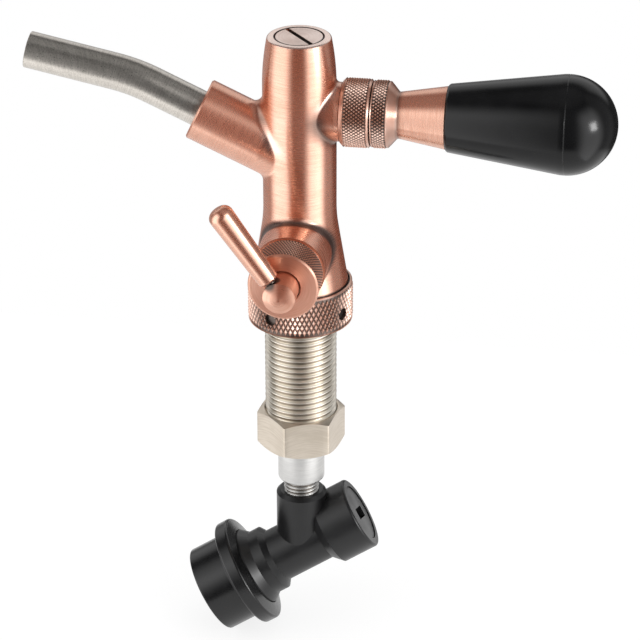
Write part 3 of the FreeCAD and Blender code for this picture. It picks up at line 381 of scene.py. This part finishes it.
# %% [markdown]
# A detailed piece starts as the outline a turner would cut. One point is drawn out, corner by corner, with
# extrude, and the outline is then spun about the axis. Corners that face inwards are part of the same
# outline, so a nut comes out as one closed skin.

# %% Turning helpers
WELD = 0.002


def alone(piece):
    """Selects the piece and nothing else."""
    bpy.ops.object.select_all(action="DESELECT")
    piece.select_set(True)
    bpy.context.view_layer.objects.active = piece


def outline(name, points):
    """A chain of edges through (radius, height) points in millimetres, drawn with extrude."""
    bpy.ops.object.select_all(action="DESELECT")
    radius, height = points[0]
    bpy.ops.mesh.primitive_plane_add(size=MM, location=(radius * MM, 0, height * MM))
    piece = bpy.context.object
    piece.name = name
    bpy.ops.object.transform_apply(location=True, rotation=True, scale=True)
    bpy.ops.object.mode_set(mode="EDIT")
    bpy.ops.mesh.select_all(action="SELECT")
    bpy.ops.mesh.merge(type="CENTER")
    for (r0, h0), (r1, h1) in zip(points, points[1:]):
        move = ((r1 - r0) * MM, 0, (h1 - h0) * MM)
        bpy.ops.mesh.extrude_vertices_move(TRANSFORM_OT_translate={"value": move})
    bpy.ops.object.mode_set(mode="OBJECT")
    return piece


def close_up():
    """Merges doubled points of the mesh in edit mode and turns its faces outwards."""
    bpy.ops.mesh.select_all(action="SELECT")
    bpy.ops.mesh.remove_doubles(threshold=WELD * MM)
    bpy.ops.mesh.normals_make_consistent(inside=False)
    bpy.ops.object.mode_set(mode="OBJECT")


def turned(name, points, sides=128):
    """The outline spun into a closed skin about +Z."""
    piece = outline(name, points)
    bpy.ops.object.mode_set(mode="EDIT")
    bpy.ops.mesh.select_all(action="SELECT")
    bpy.ops.mesh.spin(steps=sides, angle=2 * math.pi, center=(0, 0, 0), axis=(0, 0, 1))
    close_up()
    return piece


def arc(centre, radius, start, end, count=6):
    """Outline points along an arc, angles in degrees from the radius direction towards +Z."""
    angles = [math.radians(start + (end - start) * k / count) for k in range(count + 1)]
    return [(centre[0] + radius * math.cos(a), centre[1] + radius * math.sin(a)) for a in angles]


def aimed(piece, origin, along, side):
    """Turns the piece's +Z along one direction and its +X towards another, and applies its place."""
    z = Vector(along).normalized()
    x = (Vector(side) - z * z.dot(Vector(side))).normalized()
    y = z.cross(x)
    piece.matrix_world = Matrix.Translation(Vector(origin) * MM) @ Matrix((x, y, z)).transposed().to_4x4()
    alone(piece)
    bpy.ops.object.transform_apply(location=True, rotation=True, scale=True)
    return piece


def finished(piece, body, slot, material, *nodes, angle=32):
    """Shades the piece, gives it its material, and puts it on its body in place of its CAD nodes."""
    alone(piece)
    bpy.ops.object.shade_smooth_by_angle(angle=math.radians(angle))
    piece.data.materials.clear()
    piece.data.materials.append(material)
    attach(piece, body)
    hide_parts(*nodes)
    print(piece.name, len(piece.data.polygons), "faces")
    return piece


# %% [markdown]
# A diamond knurl is two crossing sets of rolled grooves. On a skin whose rows and columns are half a
# diamond apart, every second point, as on a chessboard, is where two grooves cross. Those points are
# pressed in by the depth of the knurl, and each face is then split along its groove. What is left is rows
# of small pyramids. A knurl is stated by its wall's radius, where it starts and ends, and the length of
# one diamond, and then by how many diamonds go round it and how deep they are.

# %% Knurling
ON_WALL = 0.02
KNURL_LOOK = {"metal": ("#FBDCCC", "#F3CDBA"), "oxide": ("#B86E50", "#A46045"), "cover": 0.38}


def knurl_rows(radius, start, end, cell):
    """Outline points half a diamond apart along a knurled wall."""
    count = 2 * max(1, round((end - start) / cell))
    return [(radius, start + (end - start) * k / count) for k in range(count + 1)]


def knurled(piece, radius, start, end, cell, around, depth):
    """Presses a knurl into a turned piece that still stands along +Z."""
    rows = len(knurl_rows(radius, start, end, cell)) - 1
    mesh = piece.data
    for part in list(mesh.polygons) + list(mesh.edges):
        part.select = False
    for vertex in mesh.vertices:
        x, y, z = (c / MM for c in vertex.co)
        row = (z - start) / (end - start) * rows
        column = math.atan2(y, x) / math.pi * around
        on_wall = abs(math.hypot(x, y) - radius) < ON_WALL and -0.1 < row < rows + 0.1
        at_end = row < 0.5 or row > rows - 0.5
        vertex.select = on_wall and (at_end or (round(row) + round(column)) % 2 == 1)
    alone(piece)
    bpy.ops.object.mode_set(mode="EDIT")
    bpy.ops.mesh.select_mode(type="VERT")
    share = (radius - depth) / radius
    bpy.ops.transform.resize(value=(share, share, 1), center_override=(0, 0, 0))
    bpy.ops.object.mode_set(mode="OBJECT")
    for polygon in mesh.polygons:
        middle = polygon.center / MM
        polygon.select = start < middle.z < end and middle.xy.length > radius * 0.93
    bpy.ops.object.mode_set(mode="EDIT")
    bpy.ops.mesh.select_mode(type="FACE")
    bpy.ops.mesh.quads_convert_to_tris(quad_method="SHORTEST_DIAGONAL", ngon_method="BEAUTY")
    bpy.ops.mesh.select_mode(type="VERT")
    bpy.ops.object.mode_set(mode="OBJECT")
    return piece


def knurl_patina(turning, crest, depth, low, high, most=0.97, reach=0.7):
    """Dark in the valleys of a knurl from low to high along its axis, and paler up to reach of its depth."""
    centre, axis = turning

    def share(material, place):
        off_axis = from_axis(material, place, centre, axis)
        valley = ramp(material, off_axis, crest - 0.95 * depth, crest - (1 - reach) * depth, most, 0.0)
        middle = Vector(centre).dot(Vector(axis))
        station = along_axis(material, place, axis)
        return times(material, valley, band(material, station, middle + low, middle + high, 0.1))

    return share


# %% [markdown]
# The bonnet nut screws down on the handle boss. Its knurl runs between two small chamfers, and is as fine
# as that of the collar in front of it.

# %% Bonnet nut
BONNET_R = 10.41
BONNET_KNURL = (BONNET_R, 14.0, 21.2, 1.46)
SMALL_AROUND, SMALL_DEPTH = 58, 0.45
bonnet_points = [(8.44, 12.95), (9.41, 12.95), (10.35, 13.85)]
bonnet_points += knurl_rows(*BONNET_KNURL)
bonnet_points += [(10.3, 21.3), (9.81, 21.8), (7.25, 21.8), (5.4, 17.8), (6.9, 17.8)]
bonnet_points += [(6.9, 19.05), (8.44, 19.05), (8.44, 12.95)]
bonnet = turned("bonnet_nut_knurled", bonnet_points, sides=2 * SMALL_AROUND)
knurled(bonnet, *BONNET_KNURL, SMALL_AROUND, SMALL_DEPTH)
aimed(bonnet, *HANDLE, Z_AXIS)
patina_and_shade = knurl_patina(HANDLE, BONNET_R, SMALL_DEPTH, 14.2, 21.05, reach=0.85)
copper = copper_plate("antique copper plate, knurled nut", HANDLE, rough=0.33, patina_and_shade=patina_and_shade, **KNURL_LOOK)
finished(bonnet, "tap", "copper_plate", copper, "bonnet_nut", angle=20)

# %% [markdown]
# The lever's collar is a knurled cup. Its hollow back clears the nut when the handle tilts. In front of
# the knurl it narrows in a hollow curve to the ferrule, and the patina stays in that neck.

# %% Lever collar
COLLAR_R = 10.24
COLLAR_KNURL = (COLLAR_R, 22.5, 26.9, 1.46)
collar_points = [(4.81, 30.0), (4.81, 26.0)] + arc((0, 14.0), 12.91, 68.1, 40.1, 8)[1:]
collar_points += [(10.0, 22.29)]
collar_points += knurl_rows(*COLLAR_KNURL)
collar_points += [(9.98, 27.0), (9.85, 27.3), (8.75, 28.3), (7.75, 29.15)]
collar_points += [(7.15, 29.7), (6.97, 30.0), (4.81, 30.0)]
collar = turned("lever_collar_knurled", collar_points, sides=2 * SMALL_AROUND)
knurled(collar, *COLLAR_KNURL, SMALL_AROUND, SMALL_DEPTH)
aimed(collar, *HANDLE, Z_AXIS)


def collar_patina(material, place):
    """The knurl's valleys, filled to the top, and the neck in front of it."""
    valleys = knurl_patina(HANDLE, COLLAR_R, SMALL_DEPTH, 22.65, 26.8, most=1.0, reach=1.0)
    return most_of(material, valleys(material, place), neck_patina(material, place))


copper = copper_plate(
    "antique copper plate, knurled collar", HANDLE, rough=0.33, patina_and_shade=collar_patina, **KNURL_LOOK
)
finished(collar, "handle", "copper_plate", copper, "lever_collar", angle=20)

# %% [markdown]
# The gland nut on the flow boss has a much finer knurl, and a broad smooth face with a rounded rim.

# %% Compensator gland
GLAND_R = 10.64
GLAND_KNURL = (GLAND_R, 22.1, 32.1, 1.67)
GLAND_AROUND, GLAND_DEPTH = 74, 0.42
gland_points = [(8.64, 21.75), (10.1, 21.75), (10.3, 21.95)]
gland_points += knurl_rows(*GLAND_KNURL)
gland_points += arc((9.8, 32.15), 0.84, 10, 90, 6)
gland_points += [(5.45, 32.99), (5.26, 32.8), (5.26, 30.2), (6.9, 30.2)]
gland_points += [(6.9, 28.55), (8.64, 28.55), (8.64, 21.75)]
gland = turned("compensator_gland_knurled", gland_points, sides=2 * GLAND_AROUND)
knurled(gland, *GLAND_KNURL, GLAND_AROUND, GLAND_DEPTH)
aimed(gland, *FLOW, X_AXIS)
patina_and_shade = knurl_patina(FLOW, GLAND_R, GLAND_DEPTH, 22.0, 32.2, most=1.0, reach=1.0)
copper = copper_plate("antique copper plate, finely knurled", FLOW, rough=0.42, patina_and_shade=patina_and_shade, cover=0.42)
finished(gland, "tap", "copper_plate", copper, "compensator_gland", angle=20)

# %% [markdown]
# Some features are cut into a piece once it is turned, with a boolean modifier.

# %% Cutting helper
def cut(piece, cutter, operation="DIFFERENCE"):
    """Cuts one mesh from another, or keeps what both share, with a boolean modifier applied at once."""
    alone(piece)
    modifier = piece.modifiers.new("cut", "BOOLEAN")
    modifier.object = cutter
    modifier.operation = operation
    modifier.solver = "EXACT"
    bpy.ops.object.modifier_apply(modifier=modifier.name)
    bpy.data.objects.remove(cutter)
    return piece


# %% [markdown]
# The coupling nut draws the tap down on the shank. It has the coarsest knurl, and four spanner holes with a
# small countersink, which are drilled after the knurl.

# %% Coupling nut
NUT_R, NUT_LOW = 16.19, 31.98
NUT_KNURL = (NUT_R, 32.2, 44.1, 3.05)
NUT_AROUND, NUT_DEPTH = 68, 0.55
HOLE_R, HOLE_DEPTH, HOLE_Z, FIRST_HOLE_AT = 1.95, 1.5, 36.85, -26.6
nut_points = [(11.45, NUT_LOW), (15.7, NUT_LOW), (16.0, 32.1)]
nut_points += knurl_rows(*NUT_KNURL)
nut_points += [(15.9, 44.25), (15.55, 44.6), (15.3, 44.67), (15.1, 44.67), (15.0, 44.6), (15.0, 43.5)]
nut_points += [(14.29, 43.5), (14.29, 34.25), (11.45, 34.25), (11.45, NUT_LOW)]
nut = turned("coupling_nut_knurled", nut_points, sides=2 * NUT_AROUND)
knurled(nut, *NUT_KNURL, NUT_AROUND, NUT_DEPTH)
for k in range(4):
    hole_at = math.radians(FIRST_HOLE_AT + 90 * k)
    outward = Vector((math.sin(hole_at), -math.cos(hole_at), 0))
    drill_points = [(0, 0), (HOLE_R, 0), (HOLE_R, 1.2), (HOLE_R + 0.4, 1.6), (HOLE_R + 0.4, 4), (0, 4)]
    drill = turned("drill", drill_points, sides=32)
    aimed(drill, outward * (NUT_R - HOLE_DEPTH) + Vector((0, 0, HOLE_Z)), outward, Z_AXIS)
    cut(nut, drill)


def nut_patina_and_shade(material, place):
    """Patina in the knurl's valleys, and painted shade in the drilled holes and everywhere nearer the axis.
    """
    valleys = knurl_patina(BARREL, NUT_R, NUT_DEPTH, 32.2, 44.1)
    # Painted shade in the holes, on everything nearer the axis than the knurl's valleys.
    holes = ramp(material, from_axis(material, place, *BARREL), 15.2, 15.5, 1.0, 0.0, kind="LINEAR")
    return most_of(material, valleys(material, place), holes)


copper = copper_plate(
    "antique copper plate, coarsely knurled", BARREL, rough=0.34, patina_and_shade=nut_patina_and_shade, **KNURL_LOOK
)
finished(nut, "nut_of_coupling", "copper_plate", copper, "coupling_nut", angle=20)

# %% [markdown]
# Threads are cut for real, because the shank's is the main thing seen between the two nuts. One turn's
# outline, root to crest to root, goes round and up by one pitch with the Screw modifier, and the ends are
# sliced flat with bisect.

# %% Thread helper
CREST_ROUND, CREST_EASE = 0.03, 0.05


def threaded(name, radius, pitch, depth, low, high, sides=72):
    """A solid threaded rod along +Z between two heights."""
    flat = pitch / 8
    flank = (pitch - 3 * flat) / 2
    start, root = low - pitch, radius - depth
    crest, crest_end = start + flat + flank, start + 2 * flat + flank
    points = [(root, start), (root, start + flat), (radius - CREST_ROUND, crest)]
    points += [(radius, crest + CREST_EASE), (radius, crest_end - CREST_EASE)]
    points += [(radius - CREST_ROUND, crest_end), (root, crest_end + flank), (root, start + pitch)]
    piece = outline(name, points)
    screw = piece.modifiers.new("thread", "SCREW")
    screw.angle = 2 * math.pi
    screw.screw_offset = pitch * MM
    screw.iterations = math.ceil((high - low) / pitch) + 2
    screw.steps = sides
    screw.render_steps = sides
    screw.use_merge_vertices = True
    screw.merge_threshold = WELD * MM
    bpy.ops.object.modifier_apply(modifier=screw.name)
    bpy.ops.object.mode_set(mode="EDIT")
    for height, lower_end in ((low, True), (high, False)):
        bpy.ops.mesh.select_all(action="SELECT")
        plane = {"plane_co": (0, 0, height * MM), "plane_no": (0, 0, 1), "use_fill": True}
        bpy.ops.mesh.bisect(clear_inner=lower_end, clear_outer=not lower_end, **plane)
    close_up()
    return piece


def joined(piece, *others):
    """One mesh of several. The first keeps its name."""
    alone(piece)
    for other in others:
        other.select_set(True)
    bpy.ops.object.join()
    return piece


# %% [markdown]
# Nickel and steel are one shader each: anisotropic metal between two tones, told apart by the brush lines
# and by a soft cloud.

# %% Plated and plain metals
def plain_metal(
    name, turning, bright, dull, rough, spacing=0.3, stretch=0.4, root=None, bump=0.06, clouds=110.0
):
    """Turned or drawn metal. root: two radii in millimetres and a colour, for painted shade and dirt in a
    thread's roots.
    """
    material, place = new_material(name)
    lines = brush_lines(material, place, turning, spacing)
    cloud = add(material, "TexNoise", place, clouds, 4.0)
    tone = add(material, "MapRange", add(material, "Mix", 0.5, lines, cloud), 0.36, 0.64, **SOFT)
    colour = add(material, "Mix", tone, linear(dull), linear(bright), data_type="RGBA")
    # Painted shade and a little dirt in the thread's roots.
    if root:
        low, high, shade_and_dirt_colour = root
        root_shade_and_dirt = ramp(material, from_axis(material, place, *turning), low, high, 0.85, 0.0)
        colour = add(material, "Mix", root_shade_and_dirt, colour, linear(shade_and_dirt_colour), data_type="RGBA")
    sockets = {"Base Color": colour, "Metallic": 1.0, "Anisotropic": stretch}
    sockets["Roughness"] = add(material, "MapRange", cloud, 0.3, 0.7, rough - 0.03, rough + 0.04)
    sockets["Tangent"] = add(material, "CombineXYZ", *turning[1])
    sockets["Normal"] = add(material, "Bump", bump, 0.02 * MM, inputs={"Height": lines})
    add(material, "OutputMaterial", add(material, "BsdfPrincipled", inputs=sockets))
    return material


# %% [markdown]
# The shank is brass with a satin nickel plate, which is warmer than steel. Its thread's roots are painted
# darker and browner, for their shade and a little dirt, and its crests are worn bright. A shoulder closes it
# inside the coupling nut, and both are bored.

# %% Shank
SHANK_R, SHANK_PITCH, SHANK_LOW, SHOULDER_LOW = 11.1125, 25.4 / 14, -6.4, 34.3
SHOULDER_R, SHOULDER_TOP, BORE_R = 13.19, 36.3, 4.2
shaded_dirty_root = (SHANK_R - 1.0, SHANK_R - 0.5, "#85786A")
nickel = plain_metal("satin nickel plate, threaded", BARREL, "#FBF5EA", "#EDE4D6", 0.36, root=shaded_dirty_root)
shank = threaded("shank_thread", SHANK_R, SHANK_PITCH, 1.02, SHANK_LOW, SHOULDER_LOW)
shoulder_points = [(4.0, SHOULDER_LOW), (SHOULDER_R, SHOULDER_LOW), (SHOULDER_R, SHOULDER_TOP)]
shoulder_points += [(4.0, SHOULDER_TOP), (4.0, SHOULDER_LOW)]
shoulder = turned("shoulder", shoulder_points)
bore_points = [(0, -7), (BORE_R, -7), (BORE_R, SHANK_LOW), (6.19, 36.2), (6.2, 37), (0, 37)]
shank = cut(shank, turned("bore", bore_points, sides=64))
shoulder = cut(shoulder, turned("bore", [(0, 33), (6.1, 33), (6.2, 38), (0, 38)], sides=64))
finished(joined(shank, shoulder), "tap", "nickel_plate", nickel, "shank")

# %% [markdown]
# The tail adapter is a plain turned steel sleeve, paler than the nickel, with a flare nipple below it.

# %% Tail adapter
NIPPLE_R, NIPPLE_PITCH, NIPPLE_DEPTH, NIPPLE_BORE_R = 5.556, 1.27, 0.72, 2.6
# The nipple's thread roots get the same painted shade and dirt.
shaded_dirty_root = (NIPPLE_R - NIPPLE_DEPTH, NIPPLE_R - 0.15, "#6A6055")
steel = plain_metal("turned steel sleeve", BARREL, "#DDDCDA", "#CFCECC", 0.4, 0.25, root=shaded_dirty_root)
sleeve_points = [(NIPPLE_BORE_R, -24.97), (6.5, -24.97)] + arc((6.5, -24.17), 0.8, -80, 0, 5)
sleeve_points += [(7.3, -10.3), (10.3, -10.3), (10.3, -7.6), (NIPPLE_BORE_R, -7.6)]
sleeve_points += [(NIPPLE_BORE_R, -24.97)]
adapter = turned("tail_adapter_sleeve", sleeve_points)
nipple = threaded("nipple", NIPPLE_R, NIPPLE_PITCH, NIPPLE_DEPTH, -37.46, -24.9, sides=56)
bore_points = [(0, -39), (NIPPLE_BORE_R, -39), (NIPPLE_BORE_R, -24), (0, -24)]
nipple = cut(nipple, turned("bore", bore_points, sides=48))
finished(joined(adapter, nipple), "tap", "turned_steel", steel, "tail_adapter")

# %% [markdown]
# The hex tail nut is cut from bar. Both ends are chamfered on the lathe, which leaves the arcs where
# chamfer and flats meet, and the six edges are a little rounded, so that each shows a bright line. What the
# turned blank and a six-sided bar have in common is the nut.

# %% Hex tail nut
HEX_ACROSS, HEX_LOW, HEX_TURN, CHAMFER = 24.225, -12.35, -13, 1.2
HEX_HOLE_R, HEX_THREAD_R, FACE_R = 7.45, 11.153, 11.9
BAR_LENGTH, BAR_MIDDLE, EDGE_ROUND = 16, -6, 0.4
corner = HEX_ACROSS / math.sqrt(3)
hex_points = [(HEX_HOLE_R, HEX_LOW), (FACE_R, HEX_LOW), (corner, HEX_LOW + CHAMFER), (corner, -CHAMFER)]
hex_points += [(FACE_R, 0), (11.5, 0), (HEX_THREAD_R, -0.35), (HEX_THREAD_R, -10.35)]
hex_points += [(HEX_HOLE_R, -10.35), (HEX_HOLE_R, HEX_LOW)]
hex_nut = turned("tail_nut_bevelled", hex_points, sides=144)
bpy.ops.object.select_all(action="DESELECT")
bar_size = {"vertices": 6, "radius": corner * MM, "depth": BAR_LENGTH * MM}
bar_turn = (0, 0, math.radians(HEX_TURN))
bpy.ops.mesh.primitive_cylinder_add(**bar_size, location=(0, 0, BAR_MIDDLE * MM), rotation=bar_turn)
bar = bpy.context.object
bpy.ops.object.transform_apply(location=True, rotation=True, scale=True)
bpy.ops.object.mode_set(mode="EDIT")
bpy.ops.mesh.select_mode(type="EDGE")
bpy.ops.mesh.select_all(action="DESELECT")
bpy.ops.object.mode_set(mode="OBJECT")
for edge in bar.data.edges:
    ends = [bar.data.vertices[k].co for k in edge.vertices]
    edge.select = abs(ends[0].z - ends[1].z) > BAR_LENGTH / 2 * MM
bpy.ops.object.mode_set(mode="EDIT")
bpy.ops.mesh.bevel(offset=EDGE_ROUND * MM, segments=3)
bpy.ops.mesh.select_mode(type="VERT")
bpy.ops.object.mode_set(mode="OBJECT")
cut(hex_nut, bar, "INTERSECT")
satin = plain_metal("satin nickel, ground flat", BARREL, "#DFD4C6", "#D0C4B4", 0.36, 0.5, 0.2, bump=0.12)
finished(hex_nut, "nut_of_tail", "satin_nickel", satin, "tail_nut", angle=20)

# %% [markdown]
# The spout is drawn tube with a fine grain. The hidden working parts are machined stainless.

# %% Stainless parts
tube_look = {"rough": 0.3, "spacing": 0.2, "stretch": 0.2, "bump": 0.03, "clouds": 2600.0}
give(plain_metal("satin stainless tube", SPOUT, "#DCD6CE", "#BEB8B0", **tube_look), "spout_tube")
stainless = plain_metal("machined stainless", BARREL, "#B9B9B9", "#A2A2A2", 0.3)
STAINLESS_PARTS = (
    "handle_lever", "knob_stud", "valve_piston", "seal_nut", "lock_balls", "retaining_ring", "poppet",
)
give(stainless, *STAINLESS_PARTS)

# %% [markdown]
# The disconnect holds two coil springs: one behind its release collar, and one behind its poppet. Each is
# a round wire wound with the Screw modifier. One end rests on the body and the other on a moving piece.

# %% Springs
DISC_FOOT = Vector((0, 0, -49.93))
DISC_AXIS = Vector((0.8515237, 0.1578206, 0.5))
SPRING_SLOT = "inner_steel"


def spring(name, coil_r, wire_r, low, high, turns):
    """Stands on the disconnect's axis from low to high."""
    bpy.ops.object.select_all(action="DESELECT")
    start, upright = (coil_r * MM, 0, (low + wire_r) * MM), (math.pi / 2, 0, 0)
    bpy.ops.mesh.primitive_circle_add(vertices=12, radius=wire_r * MM, location=start, rotation=upright)
    piece = bpy.context.object
    piece.name = name
    bpy.ops.object.transform_apply(location=True, rotation=True, scale=True)
    screw = piece.modifiers.new("coil", "SCREW")
    screw.angle = 2 * math.pi * turns
    screw.screw_offset = (high - low - 2 * wire_r) * MM
    screw.steps = screw.render_steps = round(32 * turns)
    bpy.ops.object.modifier_apply(modifier=screw.name)
    bpy.ops.object.mode_set(mode="EDIT")
    bpy.ops.mesh.select_all(action="SELECT")
    bpy.ops.mesh.fill_holes(sides=0)
    close_up()
    aimed(piece, DISC_FOOT, DISC_AXIS, Z_AXIS)
    finished(piece, "tap", SPRING_SLOT, stainless, name.replace("_coil", ""), angle=50)
    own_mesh(piece)
    return piece


spring("collar_spring_coil", 12.35, 0.34, -24.48, -18.52, 2.6)
spring("poppet_spring_coil", 3.4, 0.29, -12.05, 13.98, 7)

# %% [markdown]
# Plastics and rubbers are dielectrics, so their colours are nearly black or nearly white, and what tells
# them apart is how blurred the room's reflection is.

# %% Plastics and rubbers
def plastic(name, colour, rough, spread=0.02, grain=0.0, shine=0.5):
    """spread: how far the roughness varies. grain: strength of its fine bump. shine: specular level."""
    material, place = new_material(name)
    cloud = add(material, "MapRange", add(material, "TexNoise", place, 120.0, 4.0), 0.3, 0.7, **SOFT)
    lighter = tuple(min(1.0, c * 1.3 + 0.002) for c in linear(colour)[:3]) + (1.0,)
    sockets = {"Base Color": add(material, "Mix", cloud, linear(colour), lighter, data_type="RGBA")}
    sockets["Roughness"] = add(material, "MapRange", cloud, 0.0, 1.0, rough - spread, rough + spread)
    sockets["Specular IOR Level"] = shine
    fine = add(material, "TexNoise", place, 2500.0, 2.0)
    sockets["Normal"] = add(material, "Bump", grain, 0.02 * MM, inputs={"Height": fine})
    add(material, "OutputMaterial", add(material, "BsdfPrincipled", inputs=sockets))
    return material


phenolic = plastic("polished black phenolic", "#0E0E0F", 0.2, shine=0.26)
give(plastic("moulded black acetal", "#131314", 0.36, 0.04, 0.2), "disconnect_body", "disconnect_plug")
give(plastic("moulded black ABS", "#101011", 0.24, 0.03, 0.05), "release_collar")
RUBBERS = (
    "spout_o_ring", "piston_o_ring", "valve_seal", "shaft_o_rings",
    "tail_gasket", "adapter_gasket", "poppet_seal", "disconnect_plug_gasket",
)
give(plastic("black nitrile rubber", "#18181A", 0.6, 0.05, 0.2), *RUBBERS)
NYLONS = ("plug_gasket", "lever_seat", "friction_washer", "compensator_cone", "flare_washer")
give(plastic("natural nylon", "#E6E2D8", 0.45), *NYLONS)

# %% [markdown]
# The knob is pressed from black phenolic resin and polished. Its cone meets its ball end without an edge,
# at the angle where a line from the cone's foot touches the ball. A fine parting line shows where the two
# halves of the mould met, at the widest place.

# %% Handle knob
KNOB_BALL_R, KNOB_BALL_X = 14.95, 79.8
KNOB_FOOT_R, KNOB_FOOT_X = 10.21, 45.0
KNOB_BALL, LINE_DEPTH = (0, KNOB_BALL_X), 0.06
far = math.hypot(KNOB_FOOT_R, KNOB_BALL_X - KNOB_FOOT_X)
touch = math.degrees(math.atan2(KNOB_FOOT_X - KNOB_BALL_X, KNOB_FOOT_R) + math.acos(KNOB_BALL_R / far))
knob_points = [(4.8, 44.16), (9.3, 44.16), (9.75, 44.38), (10.1, 44.75), (KNOB_FOOT_R, KNOB_FOOT_X)]
knob_points += arc(KNOB_BALL, KNOB_BALL_R, touch, -0.9, 8)
knob_points += arc(KNOB_BALL, KNOB_BALL_R - LINE_DEPTH, -0.5, -0.1, 2)
knob_points += arc(KNOB_BALL, KNOB_BALL_R, 0.3, 90, 40)
knob_points += [(0, 61.0), (4.8, 60.5), (4.8, 44.16)]
knob = turned("handle_knob_parted", knob_points, sides=160)
aimed(knob, *HANDLE, Z_AXIS)
finished(knob, "handle", "black_knob", phenolic, "handle_knob", angle=25)

# %% [markdown]
# The photograph shows the tap on plain white. A white floor runs out of view behind it. Its own light
# shows to camera, glossy and transmission rays, so that it is white in the picture and in the metal, and it
# still takes a soft shadow. In front of the tap the table ends, as it did where the camera stood.

# %% Floor
FLOOR_SIZE, FLOOR_BACK, FLOOR_GAP = 0.36, 0.02, 0.0005
bpy.ops.object.select_all(action="DESELECT")
floor_at = (0, FLOOR_BACK, cad_box[0][2] - FLOOR_GAP)
bpy.ops.mesh.primitive_plane_add(size=FLOOR_SIZE, location=floor_at)
floor = bpy.context.object
floor.name = "floor"
white, place = new_material("white paper floor")
rays = add(white, "LightPath").outputs
seen = most_of(white, rays["Is Camera Ray"], rays["Is Glossy Ray"], rays["Is Transmission Ray"])
glow = add(white, "Emission", linear("#FFFFFF"), add(white, "MapRange", seen, 0.0, 1.0, 0.3, 0.82))
paper = add(white, "BsdfDiffuse", linear("#8C8C8C"))
add(white, "OutputMaterial", add(white, "AddShader", paper, glow))
floor.data.materials.append(white)
print(floor.name, "of", FLOOR_SIZE, "m, just under the tap")

# %% [markdown]
# Polished metal looks like the room around it, so the world is a small studio. Matt surfaces get even
# light from all sides. Mirror-like ones see where it comes from: white behind and below, a tall softbox on
# the left and one on the right, and the darker side of the room behind the camera. Each part of the room is
# stated in degrees, to the right of the camera and up.

# %% Studio
ROOM_DARK, EVEN_LIGHT, CAMERA_TURN = 0.05, 0.62, math.radians(8.7)
world = bpy.data.worlds.new("studio")
bpy.context.scene.world = world
world.use_nodes = True
world.node_tree.nodes.clear()
look = add(world, "SeparateXYZ", add(world, "TexCoord").outputs["Generated"])
toward = add(world, "Math", look.outputs["Y"], -1.0, operation="MULTIPLY")
azimuth = add(world, "Math", look.outputs["X"], toward, operation="ARCTAN2")
azimuth = add(world, "Math", azimuth, CAMERA_TURN, operation="SUBTRACT")
azimuth_size = add(world, "Math", azimuth, operation="ABSOLUTE")
elevation = add(world, "Math", look.outputs["Z"], operation="ARCSINE")
studio = ROOM_DARK
for name, around, sides, heights, edge, strength in (
    ("table", azimuth_size, (-10, 200), (-95, -38), 5, 1.1),
    ("left softbox", azimuth, (-94, -34), (-80, 42), 17, 2.3),
    ("right softbox", azimuth, (26, 78), (-80, 42), 15, 2.5),
    ("right wall", azimuth, (78, 120), (-80, 62), 12, 0.35),
    ("white background at the left", azimuth, (-200, -104), (-60, 5), 12, 0.45),
    ("white background", azimuth_size, (128, 200), (8, 45), 8, 0.9),
    ("ceiling light", azimuth_size, (-10, 200), (62, 95), 6, 0.25),
):
    across = between(world, around, *(math.radians(v) for v in (*sides, edge)))
    upright = between(world, elevation, *(math.radians(v) for v in (*heights, edge)))
    studio = most_of(world, studio, times(world, across, upright, strength))
    print(name, "at", sides, "to", heights, "degrees, strength", strength)
rays = add(world, "LightPath").outputs
strength = add(world, "Mix", rays["Is Glossy Ray"], EVEN_LIGHT, studio)
background = most_of(world, rays["Is Camera Ray"], rays["Is Transmission Ray"])
strength = add(world, "Mix", background, strength, 1.0)
add(world, "OutputWorld", add(world, "Background", linear("#FFFFFF"), strength))
world.cycles.sampling_method = "NONE"

# %% [markdown]
# Three soft lamps light the matt surfaces from the same sides, and don't show in mirror-like ones. The
# bulb of the right softbox is the other way round: it is the small bright spot on the knob.

# %% Lamps
TARGET = Vector((0.0, 0.0, 0.03))
for name, turn, rise, distance, size, power, mirrored in (
    ("left lamp", -58, 20, 0.9, 0.5, 1.6, False),
    ("right lamp", 48, 20, 0.9, 0.5, 1.6, False),
    ("top lamp", 10, 75, 1.2, 1.0, 1.2, False),
    ("bulb of the right softbox", 68, 13, 0.9, 0.22, 3.2, True),
):
    turn, rise = math.radians(turn), math.radians(rise)
    level = Vector((math.sin(turn), -math.cos(turn), 0)) * math.cos(rise)
    where = TARGET + distance * (level + Vector((0, 0, math.sin(rise))))
    bpy.ops.object.light_add(type="AREA", location=where)
    lamp = bpy.context.object
    lamp.name = name
    lamp.data.size = size
    lamp.data.energy = power
    lamp.rotation_euler = (TARGET - where).to_track_quat("-Z", "Y").to_euler()
    lamp.visible_glossy = mirrored
    lamp.visible_diffuse = not mirrored
    print(name, "of", power, "W")

# %% [markdown]
# The camera stands where the photograph was taken from: a little to the right, looking down at 27
# degrees, from far enough that lines hardly converge. Its numbers come from fitting the outline.

# %% Camera
CAMERA_AT = Vector((129.62, -810.47, 450.42))
ROLL, LENS, SENSOR_WIDTH, CLIP_END = math.radians(-0.121), 168.13, 36.0, 20.0
back = Vector((0.13416, -0.87995, 0.45574)).normalized()
right = Vector((0.9886, 0.1507, 0.0))
right = (right - back * right.dot(back)).normalized()
up = back.cross(right)
right, up = right * math.cos(ROLL) + up * math.sin(ROLL), up * math.cos(ROLL) - right * math.sin(ROLL)
bpy.ops.object.camera_add(location=CAMERA_AT * MM)
camera = bpy.context.object
camera.rotation_euler = Matrix((right, up, back)).transposed().to_euler()
camera.data.lens = LENS
camera.data.sensor_width = SENSOR_WIDTH
camera.data.clip_end = CLIP_END
bpy.context.scene.camera = camera
bpy.context.scene.view_settings.view_transform = "Standard"
print("camera at", list(CAMERA_AT), "mm, lens", LENS, "mm")
